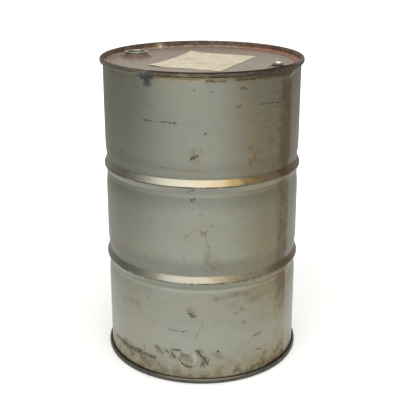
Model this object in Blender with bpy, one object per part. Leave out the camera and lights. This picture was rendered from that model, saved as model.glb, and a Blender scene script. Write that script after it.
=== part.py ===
"""Tight-head steel drum of 200 litres with two threaded closures.

Metres, +Z up, origin on the ground at the drum's axis.
Heights inside a closure are measured from the top face of the head's panel.
"""
import math
from types import SimpleNamespace

import bmesh
import bpy
from mathutils import Matrix, Vector

# Driving dimensions of the drum
DRUM_HEIGHT = 0.900
CHIME_RADIUS = 0.2925
SHELL_RADIUS = 0.2842
SHEET = 0.0012
GAP = 0.0003
ROUND_STEPS = 32
SHARP_ANGLE = math.radians(38)

# Rolled seam that joins shell and head at both ends
CHIME_HEIGHT = 0.0144
SEAM_LAYERS = 4
HOOK_DEPTH = 0.0050
HEAD_CROWN_STEPS = 5
BODY_CROWN_STEPS = 3
TURN_STEPS = 3

# Rolling hoops pressed out of the shell, with the wall drawn in beside them
HOOP_HEIGHTS = (0.592, 0.3125)
HOOP_RISE = 0.0048
HOOP_CREST = 0.0046
HOOP_FLANK = 0.0156
FOOT_DEPTH = 0.0031
NECK_DEPTH = 0.0027
NECK_PLACE = 0.0290
NECK_REACH = 0.0560

# Pressed heads: countersink wall, ledge, step and flat panel
LEDGE_DEPTH = 0.0180
PANEL_DEPTH = 0.0205
CORNER_RADIUS = 0.0060
CORNER_STEPS = 2
STEP_RADIUS = 0.2660
STEP_WIDTH = 0.0025
PANEL_RADIUS = 0.2620

# The two closures stand on one diameter of the top head
CLOSURE_BEARING = math.radians(-24.0)
FLANGE_THICKNESS = 0.0030
POCKET_TAPER = 0.0025
LIP_WIDTH = 0.0020
PACKING = 0.0014

BUNG = SimpleNamespace(
    name="bung", reach=-0.2135, steps=24, thread_diameter=0.058135, neck_wall=0.0018,
    pocket_flats=0.0840, pocket_height=0.0045, flange_flats=0.0750, neck_top=0.0140,
    packing_outer=0.0360, washer=0.0017, washer_outer=0.0325, rim_radius=0.0340, rim_top=0.0175,
    shank_bottom=0.0012)

VENT = SimpleNamespace(
    name="vent", reach=0.2302, steps=20, thread_diameter=0.025279, neck_wall=0.0024,
    pocket_flats=0.0520, pocket_height=0.0036, flange_flats=0.0440, neck_top=0.0068,
    packing_outer=0.0205, washer=0.0012, washer_outer=0.0168, rim_radius=0.0180, rim_top=0.0098,
    shank_bottom=-0.0016)

# Bung plug: a pressed cup with two lugs for the wrench, each rooted a little in the cup
CUP_EDGE = 0.0009
CUP_WALL = 0.0016
CUP_FLOOR = 0.0015
CUP_CORNER = 0.0030
LUG_LENGTH = 0.0095
LUG_WIDTH = 0.0090
LUG_TOP = 0.0125
LUG_ROOT = 0.0008

# Vent plug: a collar with a hexagon under a dome, cored from below
COLLAR_EDGE = 0.0006
BOSS_FLATS = 0.0220
BOSS_TOP = 0.0175
BOSS_CORE = 0.0085
DOME_RADIUS = 0.01452
DOME_RISE = 78
DOME_STEPS = 6

# Paper sheet stuck to the panel, placed from the drum's axis along the closures' diameter
LABEL_SIZE = (0.2159, 0.2794)
LABEL_PLACE = (0.0012, 0.0164)
LABEL_THICKNESS = 0.0003
LABEL_CURL = 0.0040
LABEL_CURL_WIDTH = 0.0500
LABEL_GRID = (10, 6)

# Colour, roughness and metallic value of each piece
FINISHES = {
    "body_shell": ((0.26, 0.27, 0.24), 0.55, 0.1),
    "top_head": ((0.25, 0.21, 0.18), 0.60, 0.1),
    "bottom_head": ((0.16, 0.11, 0.08), 0.80, 0.1),
    "bung_flange": ((0.35, 0.33, 0.27), 0.45, 0.9),
    "bung_flange_gasket": ((0.03, 0.03, 0.03), 0.80, 0.0),
    "bung_plug": ((0.42, 0.42, 0.36), 0.35, 1.0),
    "bung_plug_gasket": ((0.05, 0.05, 0.05), 0.70, 0.0),
    "vent_flange": ((0.22, 0.17, 0.12), 0.60, 0.8),
    "vent_flange_gasket": ((0.03, 0.03, 0.03), 0.80, 0.0),
    "vent_plug": ((0.58, 0.58, 0.52), 0.30, 1.0),
    "vent_plug_gasket": ((0.05, 0.05, 0.05), 0.70, 0.0),
    "paper_label": ((0.72, 0.66, 0.46), 0.90, 0.0),
}

PANEL_TOP = DRUM_HEIGHT - PANEL_DEPTH
LAYER = (CHIME_RADIUS - SHELL_RADIUS) / SEAM_LAYERS


# Scene and material helpers
def clear_scene():
    for old in list(bpy.data.objects):
        bpy.data.objects.remove(old, do_unlink=True)


def material(name):
    colour, roughness, metallic = FINISHES[name]
    finish = bpy.data.materials.new(name + "_finish")
    finish.use_nodes = True
    shader = finish.node_tree.nodes["Principled BSDF"]
    shader.inputs["Base Color"].default_value = (*colour, 1.0)
    shader.inputs["Roughness"].default_value = roughness
    shader.inputs["Metallic"].default_value = metallic
    finish.diffuse_color = (*colour, 1.0)
    return finish


def add_empty(name, location=(0, 0, 0), turn=0.0, parent=None):
    empty = bpy.data.objects.new(name, None)
    empty.location = location
    empty.rotation_euler = (0, 0, turn)
    empty.parent = parent
    bpy.context.scene.collection.objects.link(empty)
    return empty


def add_mesh(name, bm, parent):
    mesh = bpy.data.meshes.new(name)
    bm.to_mesh(mesh)
    bm.free()
    mesh.shade_smooth()
    mesh.set_sharp_from_angle(angle=SHARP_ANGLE)
    piece = bpy.data.objects.new(name, mesh)
    piece.parent = parent
    bpy.context.scene.collection.objects.link(piece)
    if name in FINISHES:
        mesh.materials.append(material(name))
    return piece


def as_cutter(piece):
    piece.hide_render = True
    piece.display_type = "WIRE"
    return piece


def combine(piece, other, operation):
    step = piece.modifiers.new(operation.title() + "_" + other.name, "BOOLEAN")
    step.operation = operation
    step.object = other
    step.solver = "EXACT"


# Section helpers: a section is a list of (radius, height) points
def arc(centre, radius, start, end, steps):
    angles = [math.radians(start + (end - start) * i / steps) for i in range(steps + 1)]
    return [(centre[0] + radius * math.cos(a), centre[1] + radius * math.sin(a)) for a in angles]


def offset(path, distance):
    """Move an open path to its left by one distance, with mitred corners."""
    points = [Vector(p) for p in path]
    sides = [(b - a).normalized() for a, b in zip(points, points[1:])]
    normals = [Vector((-s.y, s.x)) for s in sides]
    moved = [points[0] + normals[0] * distance]
    for point, before, after in zip(points[1:], normals, normals[1:]):
        mitre = (before + after).normalized()
        moved.append(point + mitre * (distance / mitre.dot(after)))
    moved.append(points[-1] + normals[-1] * distance)
    return [tuple(p) for p in moved]


def sheet_section(path, thickness):
    """Outline of a sheet that follows a path through its middle."""
    return offset(path, thickness / 2) + offset(path, -thickness / 2)[::-1]


def upside_down(section):
    return [(r, DRUM_HEIGHT - z) for r, z in section]


def turned(section, steps, closed):
    """Turn a section about Z; an open one gets a flat face over each end ring."""
    bm = bmesh.new()
    ring = [bm.verts.new((r, 0, z)) for r, z in section]
    edges = [bm.edges.new(pair) for pair in zip(ring, ring[1:])]
    if closed:
        edges.append(bm.edges.new((ring[-1], ring[0])))
    bmesh.ops.spin(bm, geom=ring + edges, cent=(0, 0, 0), axis=(0, 0, 1), angle=math.tau,
                   steps=steps, use_merge=True)
    open_edges = [e for e in bm.edges if e.is_boundary]
    if open_edges:
        bmesh.ops.holes_fill(bm, edges=open_edges, sides=0)
    bmesh.ops.recalc_face_normals(bm, faces=bm.faces)
    return bm


def prism(flats_low, flats_high, low, high, sides):
    """Upright prism with its flats square to X, tapered between two widths across flats."""
    bm = bmesh.new()
    to_corner = 1 / (2 * math.cos(math.pi / sides))
    bmesh.ops.create_cone(bm, cap_ends=True, segments=sides, radius1=flats_low * to_corner,
                          radius2=flats_high * to_corner, depth=high - low)
    bmesh.ops.rotate(bm, cent=(0, 0, 0), matrix=Matrix.Rotation(math.pi / sides, 3, 'Z'), verts=bm.verts)
    bmesh.ops.translate(bm, vec=(0, 0, (low + high) / 2), verts=bm.verts)
    return bm


def seam_path(crown_radius, crown_steps, turn_radius):
    """Middle of one sheet's hem at the top end, from its wall over the crown to its tip."""
    wall = SHELL_RADIUS - SHEET / 2
    crown_drop = 2.5 * LAYER * math.cos(math.pi / (2 * HEAD_CROWN_STEPS)) + SHEET / 2
    crown_centre = (wall + 1.5 * LAYER, DRUM_HEIGHT - crown_drop)
    turn_rise = 1.5 * LAYER * math.cos(math.pi / (2 * TURN_STEPS)) + SHEET / 2
    turn_centre = (wall + 2.5 * LAYER, DRUM_HEIGHT - CHIME_HEIGHT + turn_rise)
    tip = (turn_centre[0] - turn_radius, DRUM_HEIGHT - HOOK_DEPTH)
    crown = arc(crown_centre, crown_radius, 180, 0, crown_steps)
    turn = arc(turn_centre, turn_radius, 0, -180, TURN_STEPS)
    return crown + turn + [tip]


def hoop_path(height):
    """Middle of the shell wall past one rolling hoop, from top to bottom."""
    wall = SHELL_RADIUS - SHEET / 2
    foot = HOOP_CREST / 2 + HOOP_FLANK
    upper = [(wall, NECK_REACH), (wall - NECK_DEPTH, NECK_PLACE), (wall - FOOT_DEPTH, foot),
             (wall + HOOP_RISE, HOOP_CREST / 2)]
    lower = [(r, -z) for r, z in reversed(upper)]
    return [(r, height + z) for r, z in upper + lower]


def shell_path():
    hem = seam_path(1.5 * LAYER, BODY_CROWN_STEPS, 0.5 * LAYER)
    hoops = [point for height in HOOP_HEIGHTS for point in hoop_path(height)]
    return hem[::-1] + hoops + upside_down(hem)


def head_path():
    """Middle of a head from its panel up the countersink wall to the tip of its hem."""
    wall = SHELL_RADIUS - SHEET / 2 - LAYER
    ledge = DRUM_HEIGHT - LEDGE_DEPTH - SHEET / 2
    panel = DRUM_HEIGHT - PANEL_DEPTH - SHEET / 2
    step = [(PANEL_RADIUS, panel), (STEP_RADIUS - STEP_WIDTH, panel), (STEP_RADIUS, ledge)]
    corner = arc((wall - CORNER_RADIUS, ledge + CORNER_RADIUS), CORNER_RADIUS, -90, 0, CORNER_STEPS)
    return step + corner + seam_path(2.5 * LAYER, HEAD_CROWN_STEPS, 1.5 * LAYER)


# Shell and heads
def body_shell(drum):
    section = sheet_section(shell_path(), SHEET)
    return add_mesh("body_shell", turned(section, ROUND_STEPS, closed=True), drum)


def head(name, section, drum):
    return add_mesh(name, turned(section, ROUND_STEPS, closed=False), drum)


# Sizes that the pieces of one closure share
def neck_radius(closure):
    return closure.thread_diameter / 2 + GAP / 2 + closure.neck_wall


def shank_radius(closure):
    return closure.thread_diameter / 2 - GAP / 2


def flange_top(closure):
    return closure.pocket_height - SHEET - PACKING - 2 * GAP


def rim_underside(closure):
    return closure.neck_top + closure.washer + 2 * GAP


def cylinder(radius, low, high, steps):
    return turned([(radius, low), (radius, high)], steps, closed=False)


def ring(name, inner, outer, low, high, steps, parent):
    section = [(inner, high), (outer, high), (outer, low), (inner, low)]
    return add_mesh(name, turned(section, steps, closed=True), parent)


def raise_pocket(top_head, closure, axis):
    """Press an octagonal pocket with an upright sleeve into the head and pierce it."""
    middle = -SHEET / 2
    taper = POCKET_TAPER / closure.pocket_height
    low_flats = closure.pocket_flats - 2 * middle * taper
    high_flats = closure.pocket_flats - 2 * POCKET_TAPER
    sleeve = neck_radius(closure) + GAP
    sleeve_top = closure.neck_top - SHEET - GAP
    # The inner faces lie one sheet inside the outer ones, measured square to the slope
    inset = 2 * SHEET * math.sqrt(1 + taper ** 2)
    under = -2 * SHEET
    void_top = closure.pocket_height - SHEET
    void_low = closure.pocket_flats - 2 * under * taper - inset
    void_high = closure.pocket_flats - 2 * void_top * taper - inset
    names = ["pocket", "sleeve", "pocket_void", "sleeve_void"]
    meshes = [
        prism(low_flats, high_flats, middle, closure.pocket_height, 8),
        cylinder(sleeve + SHEET, 0, sleeve_top, closure.steps),
        prism(void_low, void_high, under, void_top, 8),
        cylinder(sleeve, under, sleeve_top + SHEET, closure.steps)]
    tools = [as_cutter(add_mesh(closure.name + "_" + name, bm, axis))
             for name, bm in zip(names, meshes)]
    combine(top_head, tools[0], "UNION")
    combine(top_head, tools[1], "UNION")
    combine(top_head, tools[2], "DIFFERENCE")
    combine(top_head, tools[3], "DIFFERENCE")


def flange(closure, axis):
    """Octagonal flange under the head; its neck is curled out over the head's sleeve."""
    top = flange_top(closure)
    low = top - FLANGE_THICKNESS
    neck = neck_radius(closure)
    lip = neck + LIP_WIDTH
    lip_low = closure.neck_top - SHEET
    section = [(neck, (top + low) / 2), (neck, lip_low), (lip, lip_low), (lip, closure.neck_top)]
    piece = add_mesh(closure.name + "_flange", turned(section, closure.steps, closed=False), axis)
    flats = closure.flange_flats
    plate = add_mesh(closure.name + "_flange_plate", prism(flats, flats, low, top, 8), axis)
    bore_radius = closure.thread_diameter / 2 + GAP / 2
    bore = cylinder(bore_radius, low - SHEET, closure.neck_top + SHEET, closure.steps)
    bore = add_mesh(closure.name + "_flange_bore", bore, axis)
    combine(piece, as_cutter(plate), "UNION")
    combine(piece, as_cutter(bore), "DIFFERENCE")
    return piece


def packing(closure, axis):
    low = flange_top(closure) + GAP
    return ring(closure.name + "_flange_gasket", neck_radius(closure) + GAP, closure.packing_outer,
                low, low + PACKING, closure.steps, axis)


def washer(closure, axis):
    low = closure.neck_top + GAP
    return ring(closure.name + "_plug_gasket", shank_radius(closure) + GAP, closure.washer_outer,
                low, low + closure.washer, closure.steps, axis)


def bung_plug(closure, axis):
    """Pressed cup with a turned-down rim and two lugs for the bung wrench."""
    shank = shank_radius(closure)
    bottom = closure.shank_bottom
    under = rim_underside(closure)
    top = closure.rim_top
    rim = closure.rim_radius
    recess = shank - CUP_WALL
    floor = bottom + CUP_FLOOR
    section = [
        (shank - SHEET, bottom), (shank, bottom + SHEET), (shank, under), (rim - SHEET, under),
        (rim - SHEET, under - SHEET), (rim, under - SHEET), (rim, top - CUP_EDGE), (rim - CUP_EDGE, top),
        (recess + CUP_EDGE, top), (recess, top - CUP_EDGE), (recess, floor + CUP_CORNER),
        (recess - CUP_CORNER, floor)]
    plug = add_mesh(closure.name + "_plug", turned(section, closure.steps, closed=False), axis)
    lugs = bmesh.new()
    for side in (-1, 1):
        block = bmesh.ops.create_cube(lugs, size=1)["verts"]
        size = (LUG_LENGTH, LUG_WIDTH, LUG_TOP - floor + LUG_ROOT)
        bmesh.ops.scale(lugs, vec=size, verts=block)
        centre = (side * (recess + LUG_ROOT - LUG_LENGTH / 2), 0, (LUG_TOP + floor - LUG_ROOT) / 2)
        bmesh.ops.translate(lugs, vec=centre, verts=block)
    combine(plug, as_cutter(add_mesh(closure.name + "_lugs", lugs, axis)), "UNION")
    return plug


def vent_plug(closure, axis):
    """Plug cored from below, with a domed hexagon on its collar."""
    shank = shank_radius(closure)
    bottom = closure.shank_bottom
    under = rim_underside(closure)
    top = closure.rim_top
    rim = closure.rim_radius
    core_top = top - 2 * SHEET
    section = [
        (BOSS_CORE, core_top), (BOSS_CORE, bottom), (shank - COLLAR_EDGE, bottom),
        (shank, bottom + COLLAR_EDGE), (shank, under), (rim, under), (rim, top - COLLAR_EDGE),
        (rim - COLLAR_EDGE, top)]
    plug = add_mesh(closure.name + "_plug", turned(section, closure.steps, closed=False), axis)
    hexagon = prism(BOSS_FLATS, BOSS_FLATS, top - COLLAR_EDGE, BOSS_TOP + COLLAR_EDGE, 6)
    hexagon = add_mesh(closure.name + "_hexagon", hexagon, axis)
    dome_section = arc((0, BOSS_TOP - DOME_RADIUS), DOME_RADIUS, 0, DOME_RISE, DOME_STEPS)
    dome = add_mesh(closure.name + "_dome", turned(dome_section, closure.steps, closed=False), axis)
    combine(hexagon, as_cutter(dome), "INTERSECT")
    combine(plug, as_cutter(hexagon), "UNION")
    return plug


def paper_label(axis):
    """Sheet of paper whose two corners nearest the bung curl up off the panel."""
    length, width = LABEL_SIZE
    bm = bmesh.new()
    bmesh.ops.create_grid(bm, x_segments=LABEL_GRID[0], y_segments=LABEL_GRID[1], size=0.5)
    bmesh.ops.scale(bm, vec=(length, width, 1), verts=bm.verts)
    for vert in bm.verts:
        from_edge = vert.co.x + length / 2
        lift = max(0, 1 - from_edge / LABEL_CURL_WIDTH) ** 2
        vert.co.z = LABEL_CURL * lift * abs(2 * vert.co.y / width) ** 3
    bmesh.ops.translate(bm, vec=(*LABEL_PLACE, GAP), verts=bm.verts)
    label = add_mesh("paper_label", bm, axis)
    solid = label.modifiers.new("Thickness", "SOLIDIFY")
    solid.thickness = LABEL_THICKNESS
    solid.offset = 1
    return label


def build_closure(closure, drum, top_head, make_plug):
    """Build one closure on its own axis, square to the diameter that both stand on."""
    turn = Vector((math.cos(CLOSURE_BEARING), math.sin(CLOSURE_BEARING)))
    place = (closure.reach * turn.x, closure.reach * turn.y, PANEL_TOP)
    axis = add_empty(closure.name + "_axis", place, CLOSURE_BEARING, drum)
    raise_pocket(top_head, closure, axis)
    flange(closure, axis)
    packing(closure, axis)
    washer(closure, axis)
    make_plug(closure, axis)


def build():
    clear_scene()
    drum = add_empty("drum")
    body_shell(drum)
    head_section = sheet_section(head_path(), SHEET)
    top_head = head("top_head", head_section, drum)
    head("bottom_head", upside_down(head_section), drum)
    build_closure(BUNG, drum, top_head, bung_plug)
    build_closure(VENT, drum, top_head, vent_plug)
    paper_label(add_empty("label_axis", (0, 0, PANEL_TOP), CLOSURE_BEARING, drum))


build()
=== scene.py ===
import math
from functools import partial

import bpy
import numpy as np
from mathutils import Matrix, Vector
from mathutils.geometry import delaunay_2d_cdt


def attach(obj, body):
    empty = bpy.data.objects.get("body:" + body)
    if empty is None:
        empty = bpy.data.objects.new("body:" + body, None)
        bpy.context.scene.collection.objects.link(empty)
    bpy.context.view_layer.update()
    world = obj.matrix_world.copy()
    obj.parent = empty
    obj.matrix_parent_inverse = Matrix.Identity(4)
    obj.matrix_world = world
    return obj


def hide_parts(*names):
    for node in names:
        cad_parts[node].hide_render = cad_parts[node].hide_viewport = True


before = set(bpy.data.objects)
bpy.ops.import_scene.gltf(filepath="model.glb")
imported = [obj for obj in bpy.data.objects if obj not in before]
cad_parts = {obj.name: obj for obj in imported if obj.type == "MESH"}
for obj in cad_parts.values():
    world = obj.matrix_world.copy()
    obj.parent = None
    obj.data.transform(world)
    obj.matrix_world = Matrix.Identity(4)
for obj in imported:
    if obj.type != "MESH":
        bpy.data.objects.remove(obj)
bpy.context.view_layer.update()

# Camera of the photograph: a pixel is counted from the top left of 400 x 400
camera = {
    "place": (0.0, -2.3253, 1.2660),
    "pitchDown": 0.31920,
    "focalPixels": 810.615,
    "axisPixel": (202.05, 187.997),
    "imagePixels": 400,
}

studio = {
    "sideLevel": (0.11, 0.34),   # what the studio's sides give, near the floor and high up
    "sideRise": (0.05, 0.5),
    "rightLevel": 2.2,           # how much lighter the right side is than the left
    "rightEdge": (0.1, 0.7),
    "backdropLevel": 1.0,        # white paper behind the drum
    "backdropEdge": (0.50, 0.66),
    "lamps": {                   # place, what it points at, width and height, power
        "frontSoftbox": ((-0.75, -3.3, 2.05), (0.0, 0.0, 0.45), (6.0, 2.6), 112.0),
        "overheadSoftbox": ((0.0, -0.3, 3.3), (0.0, 0.0, 0.9), (2.6, 2.6), 42.0),
    },
    "floorColour": "#f2f1ee",
    "farColour": "#cfcecb",
    "floorLift": (0.26, 1.0),    # light of its own near the drum and far from it
    "floorReach": (0.6, 2.2),
    "paperMiddle": (0.0, -0.75, 0.0),
    "paperEdge": (0.7, 1.5),     # the floor's white paper in front, as the drum's metal sees it
    "fadeMiddle": (1.2, -0.75, 0.0),
    "floorFade": (2.4, 4.2),     # past the paper the floor turns grey
    "floorSize": 30.0,
}

# Steel of the drum, in metres, from the ground up
steel = {
    "height": 0.900,
    "chimeRadius": 0.2925,
    "shellRadius": 0.2842,
    "sheet": 0.0012,
    "gap": 0.0003,
    "columns": 360,
}
layer = (steel["chimeRadius"] - steel["shellRadius"]) / 4
wall = steel["shellRadius"] - steel["sheet"] / 2
panelTop = steel["height"] - 0.0205
closureBearing = math.radians(-24.0)


def gridFaces(rows, columns, first=0, wrapRows=False):
    # Quads between neighbouring rows and columns; the last column joins the first one.
    row, column = np.meshgrid(np.arange(rows if wrapRows else rows - 1), np.arange(columns), indexing="ij")
    nextRow = (row + 1) % rows
    nextColumn = (column + 1) % columns
    corners = [row * columns + column, row * columns + nextColumn,
               nextRow * columns + nextColumn, nextRow * columns + column]
    return np.stack(corners, -1).reshape(-1, 4) + first


def turnAngles(columns):
    # Angle of each column round the axis: 0 at the front, rising to the right, joined at the back.
    return -math.pi + np.arange(columns) * (2 * math.pi / columns)


def turnedPoints(radii, heights, columns):
    # Each (radius, height) of a section goes round the axis: x = r sin(angle), y = -r cos(angle).
    angle = turnAngles(columns)[None, :]
    r = np.broadcast_to(np.asarray(radii, float).reshape(len(radii), -1), (len(radii), columns))
    z = np.broadcast_to(np.asarray(heights, float).reshape(len(heights), -1), (len(heights), columns))
    return np.stack([r * np.sin(angle), -r * np.cos(angle), z], -1)


def arcPoints(centre, radius, start, end, steps):
    # Points of a circle's arc between two angles in degrees.
    angle = np.radians(np.linspace(start, end, steps))
    return np.stack([centre[0] + radius * np.cos(angle), centre[1] + radius * np.sin(angle)], -1)


def smooth(x):
    # Smooth step: 0 below 0, 1 above 1, and 3x^2 - 2x^3 between.
    x = np.clip(x, 0, 1)
    return x * x * (3 - 2 * x)


def bell(x):
    # Bell curve: e to the power of -x^2
    return np.exp(-x * x)


def addPiece(name, points, faces, material, body, node, sharp=40, uv=None):
    # Makes one object of a point array and face lists, and ties it to the frame.
    mesh = bpy.data.meshes.new(name)
    mesh.from_pydata(np.asarray(points).reshape(-1, 3).tolist(), [], faces)
    if uv is not None:
        layerUv = mesh.uv_layers.new(name="UVMap")
        layerUv.data.foreach_set("uv", np.asarray(uv, np.float32).ravel())
    mesh.shade_smooth()
    mesh.set_sharp_from_angle(angle=math.radians(sharp))
    mesh.materials.append(material)
    piece = bpy.data.objects.new(name, mesh)
    bpy.context.scene.collection.objects.link(piece)
    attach(piece, body)
    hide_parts(node)
    return piece


def thicken(piece, thickness, offset=0.0):
    # Gives a sheet its thickness on both sides of its middle surface.
    step = piece.modifiers.new("Sheet", "SOLIDIFY")
    step.thickness = thickness
    step.offset = offset
    step.use_even_offset = True


def aroundUv(points, faces):
    # Per-corner (distance round the shell, height); a face across the back keeps its corners together.
    flat = points.reshape(-1, 3)
    corners = []
    for run in faces:
        place = flat[run]
        angle = np.arctan2(place[..., 0], -place[..., 1])
        crossing = np.ptp(angle, axis=1, keepdims=True) > math.pi
        angle = np.where(crossing & (angle < 0), angle + 2 * math.pi, angle)
        corners.append(np.stack([angle * steel["shellRadius"], place[..., 2]], -1).reshape(-1, 2))
    return np.concatenate(corners)


def pixelRay(pixel):
    # Direction from the camera through a pixel of the photograph.
    across = (pixel[0] - camera["axisPixel"][0]) / camera["focalPixels"]
    up = (camera["axisPixel"][1] - pixel[1]) / camera["focalPixels"]
    cosine, sine = math.cos(camera["pitchDown"]), math.sin(camera["pitchDown"])
    return np.array([across, cosine + up * sine, -sine + up * cosine])


def onShell(pixel, radius=steel["shellRadius"]):
    # Where a pixel's ray first meets a cylinder, as (distance round the shell, height).
    eye = np.array(camera["place"])
    ray = pixelRay(pixel)
    a = ray[0] ** 2 + ray[1] ** 2
    b = eye[0] * ray[0] + eye[1] * ray[1]
    c = eye[0] ** 2 + eye[1] ** 2 - radius ** 2
    reach = (-b - math.sqrt(max(0.0, b * b - a * c))) / a
    hit = eye + reach * ray
    return math.atan2(hit[0], -hit[1]) * steel["shellRadius"], hit[2]


def onLevel(pixel, height=panelTop):
    # Where a pixel's ray meets a level plane, as (x, y).
    eye = np.array(camera["place"])
    ray = pixelRay(pixel)
    hit = eye + ray * (height - eye[2]) / ray[2]
    return hit[0], hit[1]


# Damage that bends every layer of the steel alike
damage = {
    "nickPixel": (143.2, 72.0), "nickWidth": 0.0085, "nickIn": 0.0022, "nickDown": 0.0016,
    "creaseTop": (297.5, 66.5), "creaseFoot": (289.0, 76.0), "creaseDepth": 0.0022, "creaseWidth": 0.0085,
    "waveDepth": 0.0004,
}


def bend(points):
    # Moves points by their angle and height only, so that neighbouring sheets keep their gaps:
    # a nick in the rim, a crease under it, and shallow waves of the wall that fade out at the seams.
    moved = np.array(points, float)
    x, y, z = moved[..., 0], moved[..., 1], moved[..., 2]
    angle = np.arctan2(x, -y)
    around = angle * steel["shellRadius"]
    nickAround = onShell(damage["nickPixel"], steel["chimeRadius"])[0]
    nick = bell((around - nickAround) / damage["nickWidth"]) * smooth((z - 0.880) / 0.016)
    top, foot = (np.array(onShell(damage[end], steel["shellRadius"])) for end in ("creaseTop", "creaseFoot"))
    along = foot - top
    reach = np.clip(((around - top[0]) * along[0] + (z - top[1]) * along[1]) / (along @ along), 0, 1)
    away = np.hypot(around - top[0] - reach * along[0], z - top[1] - reach * along[1])
    crease = bell(away / damage["creaseWidth"]) * smooth((0.8855 - z) / 0.006)
    fade = smooth((z - 0.03) / 0.08) * smooth((0.865 - z) / 0.08)
    wave = (np.cos(3 * angle + 0.6) * np.sin(7 * z + 1.0) + 0.6 * np.cos(5 * angle - 1.1) * np.cos(11 * z)
            + 0.5 * np.sin(8 * angle + 9 * z)) * fade
    outer = smooth((np.hypot(x, y) - 0.270) / 0.008)
    inward = damage["nickIn"] * nick + damage["creaseDepth"] * crease - damage["waveDepth"] * wave
    scale = 1 - outer * inward / np.maximum(np.hypot(x, y), 1e-6)
    moved[..., 0] = x * scale
    moved[..., 1] = y * scale
    moved[..., 2] = z - damage["nickDown"] * nick * outer
    return moved


def linear(code, alpha=1.0):
    # An sRGB hex colour as the linear values that a shader takes.
    parts = [int(code[i:i + 2], 16) / 255 for i in (1, 3, 5)]
    return tuple(p / 12.92 if p <= 0.04045 else ((p + 0.055) / 1.055) ** 2.4 for p in parts) + (alpha,)


# A node's kind can have a second word, and this is the setting that it stands for. Inputs go by number: a map range
# takes 0 its value, 1 and 2 the range it comes from, 3 and 4 the range it goes to (0 and 1 unless said); a mix
# takes 0 the share of its second colour, 6 and 7 the colours
choices = {"Math": "operation", "VectorMath": "operation", "Mix": "data_type", "MapRange": "interpolation_type"}


def addNode(tree, kind, inputs=None, output=0, stops=None, **settings):
    # Adds one node: its settings first, then each input is linked or given its value. Returns one output.
    # A linear map range runs on past its ends where its kind says so, and stops there where it has no second word.
    kind, _, choice = kind.partition(" ")
    made = tree.nodes.new("ShaderNode" + kind)
    if choice:
        setattr(made, choices[kind], choice)
    if kind == "MapRange":
        made.clamp = not choice
    for name, value in settings.items():
        setattr(made, name, value)
    for place, value in (inputs or {}).items():
        if isinstance(value, bpy.types.NodeSocket):
            tree.links.new(value, made.inputs[place])
        elif isinstance(value, str):
            made.inputs[place].default_value = linear(value)
        else:
            made.inputs[place].default_value = value
    if stops:
        for _ in stops[2:]:
            made.color_ramp.elements.new(0.5)
        for element, (position, colour) in zip(made.color_ramp.elements, stops):
            element.position = position
            element.color = linear(colour) if isinstance(colour, str) else (colour, colour, colour, 1.0)
    return made.outputs[output]


def newMaterial(name):
    # An empty material with its Principled shader, and a shorthand that adds nodes to it.
    made = bpy.data.materials.new(name)
    made.use_nodes = True
    return made, made.node_tree.nodes["Principled BSDF"], partial(addNode, made.node_tree)


def connected(made, shader, sockets):
    # Links outputs to the shader's sockets by name, and gives the material back
    for name, output in sockets.items():
        made.node_tree.links.new(output, shader.inputs[name])
    return made


# Marks, each placed by a pixel of the photograph: x1, y1, x2, y2, width in pixels, strength
pixelWidth = camera["place"][1] / -camera["focalPixels"] * 0.89      # metres that a pixel covers on the near wall

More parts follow.
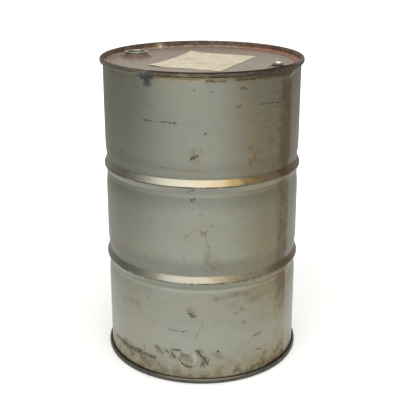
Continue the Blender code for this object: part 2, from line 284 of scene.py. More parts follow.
darkMarks = [
    (111.9, 109.4, 112.2, 109.6, 1.8, 0.7), (124.5, 113, 124.7, 113, 1.5, 0.6), (194, 90.5, 194.2, 90.7, 1.8, 0.8),
    (205.2, 133.6, 205.5, 133.8, 2.2, 1), (276.7, 106, 277, 106, 1.8, 0.9), (209.5, 92, 213.5, 91.8, 1.3, 0.6),
    (241.6, 88.4, 242.8, 88.2, 2, 1), (245, 88.7, 246.2, 89, 1.8, 0.9), (236.5, 107, 240.5, 106.3, 1.7, 0.9),
    (260, 104.6, 266, 104, 1.6, 0.9), (268, 103.7, 273, 103, 1.6, 0.8), (275, 102.4, 279, 102, 1.5, 0.8),
    (289.7, 99, 289.7, 107, 1.8, 0.8), (142, 118.2, 145.6, 120.2, 1.5, 0.8), (145.6, 120.2, 147, 120.4, 2.2, 1),
    (146, 120.4, 160, 121.9, 1.2, 0.7), (160, 122, 174.3, 123.1, 1.5, 0.9), (174.3, 123.1, 177.9, 123.5, 1.1, 0.7),
    # the last stroke of this row and both of the next follow the groove above the upper hoop: painted shade
    (191.8, 158.8, 196.4, 156.6, 3, 1), (194, 158, 197.3, 155, 1.8, 0.8), (115.4, 155.4, 137.9, 163.1, 1.1, 0.55),
    (148.4, 165.2, 174.4, 169.4, 1.1, 0.55), (174.4, 169.4, 209, 171.8, 1.2, 0.4),
    (187, 192.4, 188, 192.2, 1.8, 0.8), (191.5, 191, 193.4, 189.4, 1.8, 0.9),
    (194.3, 189.8, 194.9, 188.8, 1.6, 0.8), (191.5, 200.8, 191.9, 201, 2.4, 1), (194.3, 199.8, 194.5, 199.9, 2, 1),
    (260.6, 186.5, 261.5, 186.3, 1.6, 0.8), (150.5, 221.4, 150.7, 221.5, 1.5, 0.7),
    (196.8, 216.8, 203.8, 214, 1.1, 0.5), (204.8, 219, 205.2, 219.4, 1.3, 0.7),
    (183.1, 240.3, 187.3, 235.4, 1.1, 0.6), (187.3, 235.4, 194, 230.8, 1, 0.55),
    (200.6, 232, 206.2, 235.8, 1.5, 0.8), (206, 231.8, 201, 235.6, 1.3, 0.7), (211.8, 226.3, 212, 226.6, 1.3, 0.6),
    (207.6, 229.8, 207.9, 230, 1.3, 0.6), (205.5, 237.2, 209.7, 253.3, 1.1, 0.5),
    (144.9, 254, 144.9, 261, 1.1, 0.5), (183.8, 254.7, 183.8, 259.6, 1, 0.45),
    (126.3, 247.7, 126.6, 248, 1.4, 0.5), (203.4, 272.1, 209, 272.1, 1, 0.5), (189.3, 314, 195.7, 316.8, 1.7, 1),
    (191, 316.2, 194, 316.6, 2, 1), (190.5, 312.6, 192.6, 315.4, 1.3, 0.7), (169.4, 328.6, 182.1, 332.2, 1.2, 0.8),
    (182.1, 332.2, 182.5, 332.2, 2, 1), (182.3, 332.2, 187.7, 330.2, 1.1, 0.8),
    (202.9, 323.8, 195.3, 339.7, 0.9, 0.5), (150.2, 290, 150.2, 294, 1.1, 0.6),
    (147.4, 296.3, 147.6, 296.5, 1.2, 0.6), (139, 308.6, 139.3, 309, 1.3, 0.6), (141, 315, 141.3, 315.2, 1.2, 0.6),
    (155.4, 321.8, 156, 322, 1.2, 0.6), (142.3, 325.4, 142.6, 325.6, 1.1, 0.6),
    (253.6, 335.8, 260.4, 332.2, 1.5, 0.9), (248.8, 342.5, 249.3, 342.5, 1.4, 0.7),
    (256, 349, 261, 348.6, 1.5, 0.8), (117.1, 334.6, 123, 341, 3.2, 0.85), (123, 341, 129.5, 345.9, 5.4, 0.95),
    (127, 344.6, 141, 351.6, 6, 1), (141, 351.6, 154.5, 357.4, 3.8, 0.9), (127.6, 339, 128.6, 344, 2.2, 0.5),
    (144.5, 345, 144.8, 351, 1.6, 0.5), (196.3, 350.6, 199, 353, 2.43, 1), (199, 353, 204, 359, 2.62, 1),
    (204, 359, 200.4, 366.6, 1.87, 0.85), (204.6, 359, 207, 364, 3.18, 0.91), (207, 362, 209.6, 359.6, 1.68, 0.78),
    (203, 361, 203.4, 367.5, 1.68, 0.78), (217.7, 351.3, 218, 351.7, 2.43, 1), (217, 353, 215.2, 359, 1.5, 0.59),
    (218.6, 353, 218.2, 359, 1.5, 0.65), (220.6, 353, 221.4, 358.5, 1.31, 0.52),
    (241, 371.6, 247, 370.6, 1.87, 0.65), (247, 370.4, 252.4, 369.4, 1.72, 0.65),
    (252.6, 369, 255, 365.8, 1.87, 0.6), (174, 349.6, 180, 350.2, 2.06, 0.98),
    (171.8, 351.6, 174.6, 356.6, 2.62, 0.91), (166, 351, 168, 352.4, 2.25, 0.85),
    (156.6, 346.4, 161.6, 351.8, 2.25, 0.78), (180.2, 357.2, 183.6, 353.6, 1.68, 0.78),
    (179.4, 359.4, 182, 363.2, 1.68, 0.85), (182, 363.2, 186.4, 366.2, 1.68, 0.91),
    (185.6, 366.4, 190.6, 367, 2.43, 1), (190.6, 367, 194, 366, 1.31, 0.72), (206, 81.3, 226, 81.5, 1.7, 1),
    (237, 80.4, 255, 78.6, 1.7, 1), (258, 77.7, 266, 76.6, 1.5, 0.9), (240, 376, 255, 370.6, 1.3, 0.6),
    (255, 370.6, 270, 362, 1.3, 0.6), (270, 362, 282.7, 352.5, 1.3, 0.6),
]

rustMarks = [
    (121, 151, 122, 152, 4.5, 0.6), (250.4, 148, 250.4, 152, 4.5, 0.8), (254.6, 156, 254.8, 160, 4, 0.8),
    (249.7, 160.5, 250.3, 164, 3.5, 0.7), (193.6, 152.6, 197.4, 152.6, 8, 0.45), (191.5, 161, 196, 160, 6, 0.4),
    (209, 258, 222, 268, 8, 0.35), (206, 262, 216, 270, 5, 0.3), (156, 346, 162, 352.5, 5, 0.58),
    (166.2, 351, 174, 357, 5, 0.51), (183, 356.5, 190, 358.5, 7, 0.51), (143, 358, 158, 366, 8, 0.51),
    (150, 366, 172, 374, 6, 0.58), (122, 345, 134, 352, 8, 0.45), (214, 299.4, 226, 298, 5, 0.38),
    (230, 295.5, 247, 293.6, 5, 0.4), (247, 293.6, 255.6, 289.5, 4.5, 0.38),
    (240.5, 308.4, 246.8, 310.6, 3.4, 0.6), (235.7, 313, 236.4, 313.6, 2, 0.6),
    (243.2, 321.8, 244, 322.4, 2.4, 0.6), (159, 371, 172, 375.5, 5, 0.64), (181, 375.6, 205, 377, 3.6, 0.64),
    (125, 341, 133, 347, 7, 0.58), (112, 72.5, 126, 74, 7, 0.5), (258, 296, 268, 292, 5, 0.3),
    (270, 269.6, 271.2, 269.2, 5, 0.8), (172, 350, 181.5, 352.4, 4, 0.51), (200, 352, 207, 364, 7, 0.45),
    (213, 352, 221, 358, 6, 0.32), (236, 372, 256, 366, 4.5, 0.51), (256, 366, 282, 350, 4, 0.38),
    (124, 296, 134, 302, 6, 0.3), (133, 300, 141, 306, 5, 0.3), (189, 310, 194, 316, 6, 0.35),
    (248, 300, 262, 296, 6, 0.3), (222, 305, 250, 301, 5, 0.2),
]

# pale strokes: a pale line under the top rim; a painted highlight along the crease under the rim; painted
# highlights round the edge of a shallow dent low on the front
paleAndHighlightMarks = [
    (160, 79.4, 182, 80.9, 1.2, 0.3), (182, 80.9, 205, 81.3, 1.2, 0.25), (178.2, 354.5, 180.6, 351.6, 1.2, 0.6),
    (193.5, 354, 195.2, 360.5, 1.4, 0.6), (195.2, 360.5, 192.5, 366.6, 1.2, 0.6),
    (178.6, 360.4, 182, 365.8, 1, 0.5), (298.6, 68, 289.6, 77, 2.6, 0.55), (182.4, 352.6, 189, 351.4, 1.2, 0.4),
    (182, 365.8, 188, 368.8, 1, 0.4),
]

splashAndCreaseShadeMarks = [
    (141.5, 76.2, 150.8, 76.6, 6.2, 1), (146, 78, 146.8, 82.6, 8.4, 1), (136, 75.2, 141.5, 76.2, 1.8, 0.9),
    (150.8, 76, 153.4, 75, 2.4, 0.9), (143.4, 84.4, 144, 85, 3, 0.8), (149, 84, 150.4, 85, 2.6, 0.8),
    # the last two strokes lie on the crease under the rim: painted shade on its dark side
    (285.6, 71.5, 288.8, 75, 4.6, 0.5), (288.6, 76, 288.8, 79, 2.4, 0.4),
]


def markMask(make, place, marks, radius=steel["shellRadius"]):
    # The strongest of many strokes: each is full within its width of a line from one pixel to another.
    mask = 0.0
    for x1, y1, x2, y2, width, strength in marks:
        start = np.array(onShell((x1, y1), radius))
        span = np.array(onShell((x2, y2), radius)) - start
        half = width * pixelWidth / 2
        fromStart = make("VectorMath SUBTRACT", {0: place, 1: (*start, 0)})
        along = make("VectorMath DOT_PRODUCT", {0: fromStart, 1: (*(span / (span @ span)), 0)}, 1)
        along = make("Clamp", {0: along})
        nearest = make("VectorMath SCALE", {0: (*span, 0), "Scale": along})
        away = make("VectorMath DISTANCE", {0: fromStart, 1: nearest}, 1)
        stroke = make("MapRange SMOOTHSTEP", {0: away, 1: half * 0.4, 2: half * 2.0, 3: strength, 4: 0.0})
        mask = make("Math MAXIMUM", {0: mask, 1: stroke})
    return mask


rimMarks = [
    (154, 76.5, 180, 78, 1.95, 0.92), (183, 78.2, 205, 79, 2.08, 0.92), (211, 77.8, 222, 77.6, 2.86, 1),
    (224, 77.2, 233, 77.4, 2.6, 1), (247, 75.8, 253, 75.4, 2.47, 1), (255, 75.2, 262, 74.4, 2.08, 0.92),
    (264, 74, 274, 72.3, 1.82, 0.8), (234, 76, 242, 75.6, 2.08, 0.8), (208, 80, 226, 80.2, 2.08, 0.92),
    (282, 69, 289, 66.5, 2.08, 0.69), (112, 71, 124, 73, 2.86, 0.57), (128, 75, 139, 76.4, 1.69, 0.57),
]

rimSplash = [
    (141.5, 74.6, 151.2, 75.4, 5.0, 1), (144, 77.4, 150.4, 78.2, 4.4, 1), (136, 75.2, 141.5, 75.8, 1.8, 0.9),
    (151, 75, 153.4, 74.4, 2.4, 0.9),
]


def shaken(make, place, solid):
    # A place moved by up to 1 mm in grains of 4 mm and up to 2 mm in grains of 20 mm, so strokes on it look ragged
    for scale, reach in ((230.0, 0.0045), (45.0, 0.0070)):
        grain = make("TexNoise", {"Vector": solid, "Scale": scale, "Detail": 2.0}, 1)
        shift = make("VectorMath SUBTRACT", {0: grain, 1: (0.5, 0.5, 0.5)})
        shift = make("VectorMath SCALE", {0: shift, "Scale": reach})
        place = make("VectorMath ADD", {0: place, 1: shift})
    return place


# Finish of the bare steel. A row of pairs is a ramp: a place from 0 to 1 and what is there. Round the drum 0 is the
# far left, 0.5 the front and 1 the far right; by height a place is in metres
bareFinish = {
    "cold": "#8f948b", "warm": "#919084", "amber": "#94805a", "freckle": "#6b4f33",
    # scrape is the pale marks' colour, a painted highlight on most of them
    "scrape": "#b9b7a8", "rust": "#67583c", "splash": "#323534", "oxide": "#2d2a20",
    "film": ((0.15, "#857e64"), (0.5, "#86774f"), (0.85, "#6d5a42")),
    "filmRound": ((0.0, 0.35), (0.16, 0.22), (0.30, 0.08), (0.50, 0.10), (0.57, 0.17), (0.635, 0.38),
                  (0.69, 0.50), (0.75, 0.60), (0.785, 0.95), (0.822, 1.0), (0.836, 0.36), (0.90, 0.22),
                  (1.0, 0.30)),
    "filmHeight": ((0.0, 0.70), (0.06, 0.50), (0.14, 0.42), (0.20, 0.75), (0.27, 1.0), (0.33, 0.95),
                   (0.50, 0.82), (0.60, 0.92), (0.68, 1.0), (0.76, 0.92), (0.868, 0.80), (0.884, 1.0)),
    # painted light by height: lighter towards the bottom, where the floor's light falls, and darkest over the
    # middle
    "paintedHeightLight": ((0.0, 1.0), (0.13, 1.0), (0.19, 0.91), (0.27, 0.83), (0.40, 0.80), (0.55, 0.78), (0.66, 0.82),
             (0.75, 0.87), (0.85, 0.94)),
    # hoop wear colours round the drum, brightest in front as painted sheen; the lower hoop's ramp also has two
    # painted glints, at 0.39 and 0.66
    "wearAndPaintedSheen": ((0.10, "#8e8f84"), (0.22, "#8f8c7e"), (0.30, "#a9a698"), (0.47, "#b5af9b"),
               (0.54, "#b9a884"), (0.60, "#b9a06f"), (0.65, "#98825a"), (0.70, "#8f7d60"),
               (0.745, "#857659"), (0.765, "#5f5442"), (0.86, "#7a6e5c")),
    "lowWearAndPaintedGlints": ((0.20, "#86857a"), (0.34, "#8a8a7d"), (0.39, "#a3a194"), (0.47, "#a19d8c"),
                  (0.52, "#a7a08b"), (0.56, "#958a70"), (0.60, "#91886f"), (0.66, "#a09780"),
                  (0.73, "#8c806a"), (0.80, "#6f6451"), (0.86, "#7b705f")),
    "edgeDirt": ((0.05, 0.0), (0.16, 0.85), (0.60, 0.85), (0.68, 0.5), (0.80, 0.1)),
}


def makeBareSteel():
    # Cold-rolled steel left bare: a dull grey-green metal that mirrors the studio softly, so it is dark at the
    # sides and bright on the hoops. A brown film of oil and rust warms it, and scratches show dark oxide, rusty at
    # the edge.
    made, shader, make = newMaterial("coldRolledSteel")
    solid = make("TexCoord", output=3)
    around = make("UVMap", uv_map="UVMap")
    u, v, _ = make("SeparateXYZ", {0: around}).node.outputs
    ragged = shaken(make, around, solid)
    dark = markMask(make, ragged, darkMarks)
    rusty = markMask(make, ragged, rustMarks)
    paleAndPaintedHighlight = markMask(make, ragged, paleAndHighlightMarks)
    # the splash marks include two strokes of painted shade in the crease under the rim
    splash = markMask(make, ragged, splashAndCreaseShadeMarks)

    # clouds of 150 mm, patches of 25 mm, streaks along the rolling direction, and specks of 3 mm
    cloud = make("TexNoise", {"Vector": solid, "Scale": 7.0, "Detail": 5.0, "Roughness": 0.65})
    patch = make("TexNoise", {"Vector": solid, "Scale": 38.0, "Detail": 5.0, "Roughness": 0.7})
    flat = make("VectorMath MULTIPLY", {0: ragged, 1: (14.0, 110.0, 1.0)})
    streak = make("TexNoise", {"Vector": flat, "Scale": 1.0, "Detail": 5.0, "Roughness": 0.7})
    speck = make("TexNoise", {"Vector": solid, "Scale": 300.0, "Detail": 2.0, "Roughness": 0.7})

    # brown film: how strong it is round the drum, then by height, then broken up
    turn = make("MapRange LINEAR", {0: u, 1: -0.45, 2: 0.45})
    film = make("ValToRGB", {0: turn}, stops=bareFinish["filmRound"])
    height = make("ValToRGB", {0: v}, stops=bareFinish["filmHeight"])
    film = make("Math MULTIPLY", {0: film, 1: height})
    broken = make("Math MULTIPLY_ADD", {0: cloud, 1: 0.5, 2: patch})
    broken = make("MapRange LINEAR", {0: broken, 1: 0.55, 2: 0.95, 3: 0.78, 4: 1.18})
    film = make("Math MULTIPLY", {0: film, 1: broken})
    wisps = make("MapRange SMOOTHSTEP", {0: streak, 1: 0.50, 2: 0.74, 4: 0.26})
    wispy = make("MapRange SMOOTHSTEP", {0: turn, 1: 0.46, 2: 0.66, 3: 0.40})
    wisps = make("Math MULTIPLY", {0: wisps, 1: wispy})
    film = make("Math ADD", {0: film, 1: wisps})
    # dirt splashed up from the ground, in clouds
    tide = make("MapRange SMOOTHSTEP", {0: v, 1: 0.110, 2: 0.018, 4: 0.55})
    splashed = make("MapRange SMOOTHSTEP", {0: patch, 1: 0.36, 2: 0.66})
    tide = make("Math MULTIPLY", {0: tide, 1: splashed})
    film = make("Math ADD", {0: film, 1: tide})
    dusty = make("MapRange SMOOTHSTEP", {0: v, 1: 0.085, 2: 0.045, 4: 0.14})
    film = make("Math ADD", {0: film, 1: dusty})
    # dirt that has run down from under the rim, less of it on the left
    under = make("MapRange SMOOTHSTEP", {0: v, 1: 0.868, 2: 0.882, 4: 0.6})
    side = make("MapRange SMOOTHSTEP", {0: turn, 1: 0.30, 2: 0.40, 3: 0.35})
    under = make("Math MULTIPLY", {0: under, 1: side})
    under = make("Math MULTIPLY", {0: under, 1: broken})
    film = make("Math ADD", {0: film, 1: under})
    film = make("Clamp", {0: film})

    tone = make("MapRange LINEAR", {0: patch, 1: 0.3, 2: 0.7, 3: 1.03, 4: 0.95})
    # painted light by height: lightest towards the bottom, where the floor's light falls, darkest over the middle
    paintedHeightLight = make("ValToRGB", {0: v}, stops=bareFinish["paintedHeightLight"])
    tone = make("Math MULTIPLY", {0: tone, 1: paintedHeightLight})
    rolled = make("MapRange LINEAR", {0: streak, 1: 0.3, 2: 0.7, 3: 1.11, 4: 1.05})
    tone = make("Math MULTIPLY", {0: tone, 1: rolled})
    grit = make("MapRange LINEAR", {0: speck, 1: 0.3, 2: 0.7, 3: 0.96, 4: 1.04})
    tone = make("Math MULTIPLY", {0: tone, 1: grit})
    warmth = make("MapRange", {0: cloud, 1: 0.3, 2: 0.7})
    colour = make("Mix RGBA", {0: warmth, 6: bareFinish["cold"], 7: bareFinish["warm"]}, 2)
    colour = make("VectorMath SCALE", {0: colour, "Scale": tone})
    hue = make("ValToRGB", {0: film}, stops=bareFinish["film"])
    colour = make("Mix RGBA", {0: film, 6: colour, 7: hue}, 2)

    # an amber run of oil down the upper panel on the right
    amber = make("Math ADD", {0: turn, 1: -0.652})
    amber = make("Math ABSOLUTE", {0: amber})
    amber = make("MapRange SMOOTHSTEP", {0: amber, 1: 0.040, 2: 0.0, 4: 0.26})
    upper = make("MapRange SMOOTHSTEP", {0: v, 1: 0.60, 2: 0.66})
    amber = make("Math MULTIPLY", {0: amber, 1: upper})
    amber = make("Math MULTIPLY", {0: amber, 1: broken})
    colour = make("Mix RGBA", {0: amber, 6: colour, 7: bareFinish["amber"]}, 2)

    # hoop flanks, polished by rolling: bare and creamy in front, golden then rust-orange to the right. How bright
    # they are round the drum is partly painted sheen, and the lower hoop's ramp holds two painted glints
    flank = edge = darkBandAbove = paintedFilletLight = crease = 0.0
    for hoop in shell["hoopHeights"]:
        up = make("Math ADD", {0: v, 1: -hoop})
        band = make("MapRange SMOOTHSTEP", {0: up, 1: 0.0008, 2: 0.0022})
        lid = make("MapRange SMOOTHSTEP", {0: up, 1: 0.0205, 2: 0.0185})
        band = make("Math MULTIPLY", {0: band, 1: lid})
        flank = make("Math MAXIMUM", {0: flank, 1: band})
        # a darker band above each hoop
        above = make("MapRange SMOOTHSTEP", {0: up, 1: 0.0185, 2: 0.0215})
        fade = make("MapRange SMOOTHSTEP", {0: up, 1: 0.082, 2: 0.048})
        above = make("Math MULTIPLY", {0: above, 1: fade})
        darkBandAbove = make("Math MAXIMUM", {0: darkBandAbove, 1: above})
        # a painted highlight on the fillet under each hoop
        below = make("Math COMPARE", {0: up, 1: -0.0266, 2: 0.0042})
        paintedFilletLight = make("Math MAXIMUM", {0: paintedFilletLight, 1: below})
        # painted shade in the crease at each hoop's foot
        foot = make("Math COMPARE", {0: up, 1: -0.0194, 2: 0.0018})
        crease = make("Math MAXIMUM", {0: crease, 1: foot})
        line = make("Math COMPARE", {0: up, 1: 0.0002, 2: 0.0019})
        edge = make("Math MAXIMUM", {0: edge, 1: line})
    # tone by the hoops: darker above them, painted light on the fillet under them, painted shade at their foot
    hoopBandsAndPaintedLight = make("Math MULTIPLY_ADD", {0: darkBandAbove, 1: -0.22, 2: 1.0})
    hoopBandsAndPaintedLight = make("Math MULTIPLY_ADD", {0: paintedFilletLight, 1: 0.16, 2: hoopBandsAndPaintedLight})
    hoopBandsAndPaintedLight = make("Math MULTIPLY_ADD", {0: crease, 1: -0.16, 2: hoopBandsAndPaintedLight})
    colour = make("VectorMath SCALE", {0: colour, "Scale": hoopBandsAndPaintedLight})
    worn = make("MapRange LINEAR", {0: patch, 1: 0.38, 2: 0.66, 3: -0.035, 4: 0.035})
    worn = make("Math ADD", {0: turn, 1: worn})
    wearAndPaintedSheen = make("ValToRGB", {0: worn}, stops=bareFinish["wearAndPaintedSheen"])
    lowWearAndPaintedGlints = make("ValToRGB", {0: worn}, stops=bareFinish["lowWearAndPaintedGlints"])
    lower = make("Math LESS_THAN", {0: v, 1: 0.45})
    wearAndPaintedSheen = make("Mix RGBA", {0: lower, 6: wearAndPaintedSheen, 7: lowWearAndPaintedGlints}, 2)
    colour = make("Mix RGBA", {0: flank, 6: colour, 7: wearAndPaintedSheen}, 2)
    freckled = make("MapRange SMOOTHSTEP", {0: turn, 1: 0.56, 2: 0.67, 4: 0.75})
    spotted = make("MapRange SMOOTHSTEP", {0: speck, 1: 0.50, 2: 0.60})
    freckled = make("Math MULTIPLY", {0: freckled, 1: spotted})
    freckled = make("Math MULTIPLY", {0: freckled, 1: flank})
    colour = make("Mix RGBA", {0: freckled, 6: colour, 7: bareFinish["freckle"]}, 2)
    chipped = make("MapRange SMOOTHSTEP", {0: patch, 1: 0.36, 2: 0.5})
    reach = make("ValToRGB", {0: turn}, stops=bareFinish["edgeDirt"])
    edge = make("Math MULTIPLY", {0: edge, 1: reach})
    edge = make("Math MULTIPLY", {0: edge, 1: chipped})
    dark = make("Math MAXIMUM", {0: dark, 1: edge})

    # a mark's weak outer part is a rusty stain, its strong middle dark oxide; both break up in specks. The dark
    # strokes along the upper hoop's groove are painted shade, made up the same way
    flake = make("MapRange LINEAR", {0: speck, 1: 0.40, 2: 0.56, 3: 0.30, 4: 1.15})
    dark = make("Math MULTIPLY", {0: dark, 1: flake})
    core = make("MapRange SMOOTHSTEP", {0: dark, 1: 0.40, 2: 0.85, 4: 0.92})
    stain = make("MapRange SMOOTHSTEP", {0: dark, 1: 0.0, 2: 0.6, 4: 0.55})
    rusty = make("Math MULTIPLY", {0: rusty, 1: flake})
    blotched = make("MapRange LINEAR", {0: patch, 1: 0.42, 2: 0.58, 3: 0.3, 4: 1.35})
    rusty = make("Math MULTIPLY", {0: rusty, 1: blotched})
    rusty = make("Math MAXIMUM", {0: rusty, 1: stain})
    rusty = make("Clamp", {0: rusty})
    # the pale marks are mostly painted highlights
    for share, tint in (paleAndPaintedHighlight, "scrape"), (rusty, "rust"), (splash, "splash"), (core, "oxide"):
        colour = make("Mix RGBA", {0: share, 6: colour, 7: bareFinish[tint]}, 2)

    oxide = make("Math MAXIMUM", {0: core, 1: splash})
    bare = make("Math MULTIPLY", {0: rusty, 1: 0.6})
    oxide = make("Math MAXIMUM", {0: oxide, 1: bare})
    metal = make("MapRange LINEAR", {0: oxide, 1: 0.0, 2: 1.0, 3: 1.0, 4: 0.15})
    rough = make("MapRange LINEAR", {0: cloud, 1: 0.3, 2: 0.7, 3: 0.31, 4: 0.38})
    rough = make("Math MULTIPLY_ADD", {0: film, 1: 0.08, 2: rough})
    rough = make("Math MULTIPLY_ADD", {0: oxide, 1: 0.3, 2: rough})
    rough = make("Math MULTIPLY_ADD", {0: flank, 1: 0.10, 2: rough})
    relief = make("Math ADD", {0: speck, 1: patch})
    bump = make("Bump", {"Strength": 0.12, "Distance": 0.0005, "Height": relief})
    return connected(made, shader, {"Base Color": colour, "Metallic": metal, "Roughness": rough, "Normal": bump})


# Finish of the top head, from its panel out to the rim's face
headFinish = {
    "panel": ((0.0, "#8b8374"), (0.45, "#83796b"), (0.8, "#7c6f61"), (1.0, "#725f50")),
    "stain": "#7f6a5b", "ringRust": "#6f543f", "paintedStepShade": "#3d3029",
    "thinLeft": "#8f7868", "thinRight": "#90684e", "thickLeft": "#63503f", "thickRight": "#7b543d",
    "insideThin": "#6b5443", "insideThick": "#45362b", "scrape": "#9a8f72", "paintedScrapeGlint": "#d8ccae",
    "face": "#7d7b6e", "faceDirt": "#574b3a", "crown": "#2f271e", "dirt": "#2a2119",
    "splash": "#323534", "paintedNickGlint": "#e0dfd3",
}


def makeHeadSteel():
    # The same bare steel on the rim's face. Inside the rim it has rusted: thin brown rust over the ledge and crown,
    # and a pinkish grey worn film on the panel that hides the metal's shine.
    made, shader, make = newMaterial("rustFilmedSteel")
    solid = make("TexCoord", output=3)
    around = make("UVMap", uv_map="UVMap")
    x, y, z = make("SeparateXYZ", {0: solid}).node.outputs
    level = make("VectorMath MULTIPLY", {0: solid, 1: (1.0, 1.0, 0.0)})
    reach = make("VectorMath LENGTH", {0: level}, 1)
    ragged = shaken(make, around, solid)
    dark = markMask(make, ragged, rimMarks, steel["chimeRadius"])
    splash = markMask(make, ragged, rimSplash, steel["chimeRadius"])
    # clouds of 90 mm, patches of 20 mm and specks of 3 mm
    cloud = make("TexNoise", {"Vector": solid, "Scale": 11.0, "Detail": 5.0, "Roughness": 0.65})
    patch = make("TexNoise", {"Vector": solid, "Scale": 50.0, "Detail": 5.0, "Roughness": 0.7})
    speck = make("TexNoise", {"Vector": solid, "Scale": 300.0, "Detail": 2.0, "Roughness": 0.7})

    # panel: lighter in front, browner at the back and towards its edge, with rusty clouds
    depth = make("MapRange", {0: y, 1: -0.24, 2: 0.26})
    panel = make("ValToRGB", {0: depth}, stops=headFinish["panel"])
    stained = make("MapRange", {0: cloud, 1: 0.42, 2: 0.68, 4: 0.55})
    nearEdge = make("MapRange SMOOTHSTEP", {0: reach, 1: 0.20, 2: 0.262, 3: 0.15, 4: 0.75})
    dust = make("MapRange LINEAR", {0: patch, 1: 0.36, 2: 0.62, 3: 0.2, 4: 1.1})
    nearEdge = make("Math MULTIPLY", {0: nearEdge, 1: dust})
    stained = make("Math MAXIMUM", {0: stained, 1: nearEdge})
    stained = make("Clamp", {0: stained})

    # orange rust on the pressed rings round the closures
    for name, amount in (("bung", 0.9), ("vent", 0.45)):
        part = closures[name]
        apart = make("VectorMath DISTANCE", {0: solid, 1: tuple(closureCentre(part))}, 1)
        ring = make("MapRange SMOOTHSTEP", {0: apart, 1: part["ringRadius"] * 1.12, 2: part["ringRadius"] * 0.94,
                                            4: amount})
        dusted = make("MapRange LINEAR", {0: patch, 1: 0.36, 2: 0.62, 3: 0.65, 4: 1.1})
        ring = make("Math MULTIPLY", {0: ring, 1: dusted})
        ring = make("Clamp", {0: ring})
        panel = make("Mix RGBA", {0: ring, 6: panel, 7: headFinish["ringRust"]}, 2)

    colour = make("Mix RGBA", {0: stained, 6: panel, 7: headFinish["stain"]}, 2)

    # ledge: thin rust, orange to the right
    right = make("MapRange SMOOTHSTEP", {0: x, 1: 0.06, 2: 0.21})
    thin = make("Mix RGBA", {0: right, 6: headFinish["thinLeft"], 7: headFinish["thinRight"]}, 2)
    thick = make("Mix RGBA", {0: right, 6: headFinish["thickLeft"], 7: headFinish["thickRight"]}, 2)
    flaky = make("MapRange", {0: patch, 1: 0.42, 2: 0.62})
    ledge = make("Mix RGBA", {0: flaky, 6: thin, 7: thick}, 2)
    onLedge = make("MapRange SMOOTHSTEP", {0: reach, 1: 0.2630, 2: 0.2665})
    colour = make("Mix RGBA", {0: onLedge, 6: colour, 7: ledge}, 2)
    # painted shade in the step between panel and ledge
    paintedStepShade = make("Math COMPARE", {0: reach, 1: 0.2655, 2: 0.0014})
    paintedStepShade = make("Math MULTIPLY", {0: paintedStepShade, 1: 0.55})
    colour = make("Mix RGBA", {0: paintedStepShade, 6: colour, 7: headFinish["paintedStepShade"]}, 2)
    # rim: dark brown rust inside and over the crown, steel outside
    inside = make("MapRange SMOOTHSTEP", {0: z, 1: 0.8855, 2: 0.8885})
    beyond = make("MapRange SMOOTHSTEP", {0: reach, 1: 0.2680, 2: 0.2700})
    inside = make("Math MULTIPLY", {0: inside, 1: beyond})
    deep = make("Mix RGBA", {0: flaky, 6: headFinish["insideThin"], 7: headFinish["insideThick"]}, 2)
    colour = make("Mix RGBA", {0: inside, 6: colour, 7: deep}, 2)
    # a scraped patch at the back, oily yellow, with a painted glint in its middle where bare metal shows
    apart = make("VectorMath DISTANCE", {0: solid, 1: (*onLevel(head["scrapePixel"], 0.888), 0.888)}, 1)
    scraped = make("MapRange SMOOTHSTEP", {0: apart, 1: 0.022, 2: 0.008, 4: 0.75})
    colour = make("Mix RGBA", {0: scraped, 6: colour, 7: headFinish["scrape"]}, 2)
    paintedGlint = make("MapRange SMOOTHSTEP", {0: apart, 1: 0.006, 2: 0.003})
    colour = make("Mix RGBA", {0: paintedGlint, 6: colour, 7: headFinish["paintedScrapeGlint"]}, 2)
    turn = make("SeparateXYZ", {0: around})
    dirty = make("MapRange SMOOTHSTEP", {0: turn, 1: -0.17, 2: -0.10})
    crown = make("MapRange SMOOTHSTEP", {0: z, 1: 0.8945, 2: 0.8975})
    worn = make("MapRange SMOOTHSTEP", {0: turn, 1: 0.24, 2: 0.32, 3: 1.0, 4: 0.35})
    crown = make("Math MULTIPLY", {0: crown, 1: worn})
    # the rim face's lower edge, where it turns under, darkens as rust and painted shade
    foot = make("MapRange SMOOTHSTEP", {0: z, 1: 0.8890, 2: 0.8872, 4: 0.75})
    outside = make("MapRange SMOOTHSTEP", {0: reach, 1: 0.2895, 2: 0.2915})
    foot = make("Math MULTIPLY", {0: foot, 1: dirty})
    foot = make("Math MULTIPLY", {0: foot, 1: outside})
    crown = make("Math MAXIMUM", {0: crown, 1: foot})
    run = make("VectorMath MULTIPLY", {0: ragged, 1: (30.0, 260.0, 1.0)})
    run = make("TexNoise", {"Vector": run, "Scale": 1.0, "Detail": 4.0, "Roughness": 0.65})
    chipped = make("MapRange", {0: run, 1: 0.34, 2: 0.50, 3: 0.75})
    crown = make("Math MULTIPLY", {0: crown, 1: chipped})
    paleCrown = make("MapRange LINEAR", {0: dirty, 3: 0.6})
    crown = make("Math MULTIPLY", {0: crown, 1: paleCrown})
    face = make("MapRange", {0: run, 1: 0.30, 2: 0.54})
    face = make("Math MULTIPLY", {0: face, 1: dirty})
    face = make("Mix RGBA", {0: face, 6: headFinish["face"], 7: headFinish["faceDirt"]}, 2)
    colour = make("Mix RGBA", {0: outside, 6: colour, 7: face}, 2)
    colour = make("Mix RGBA", {0: crown, 6: colour, 7: headFinish["crown"]}, 2)

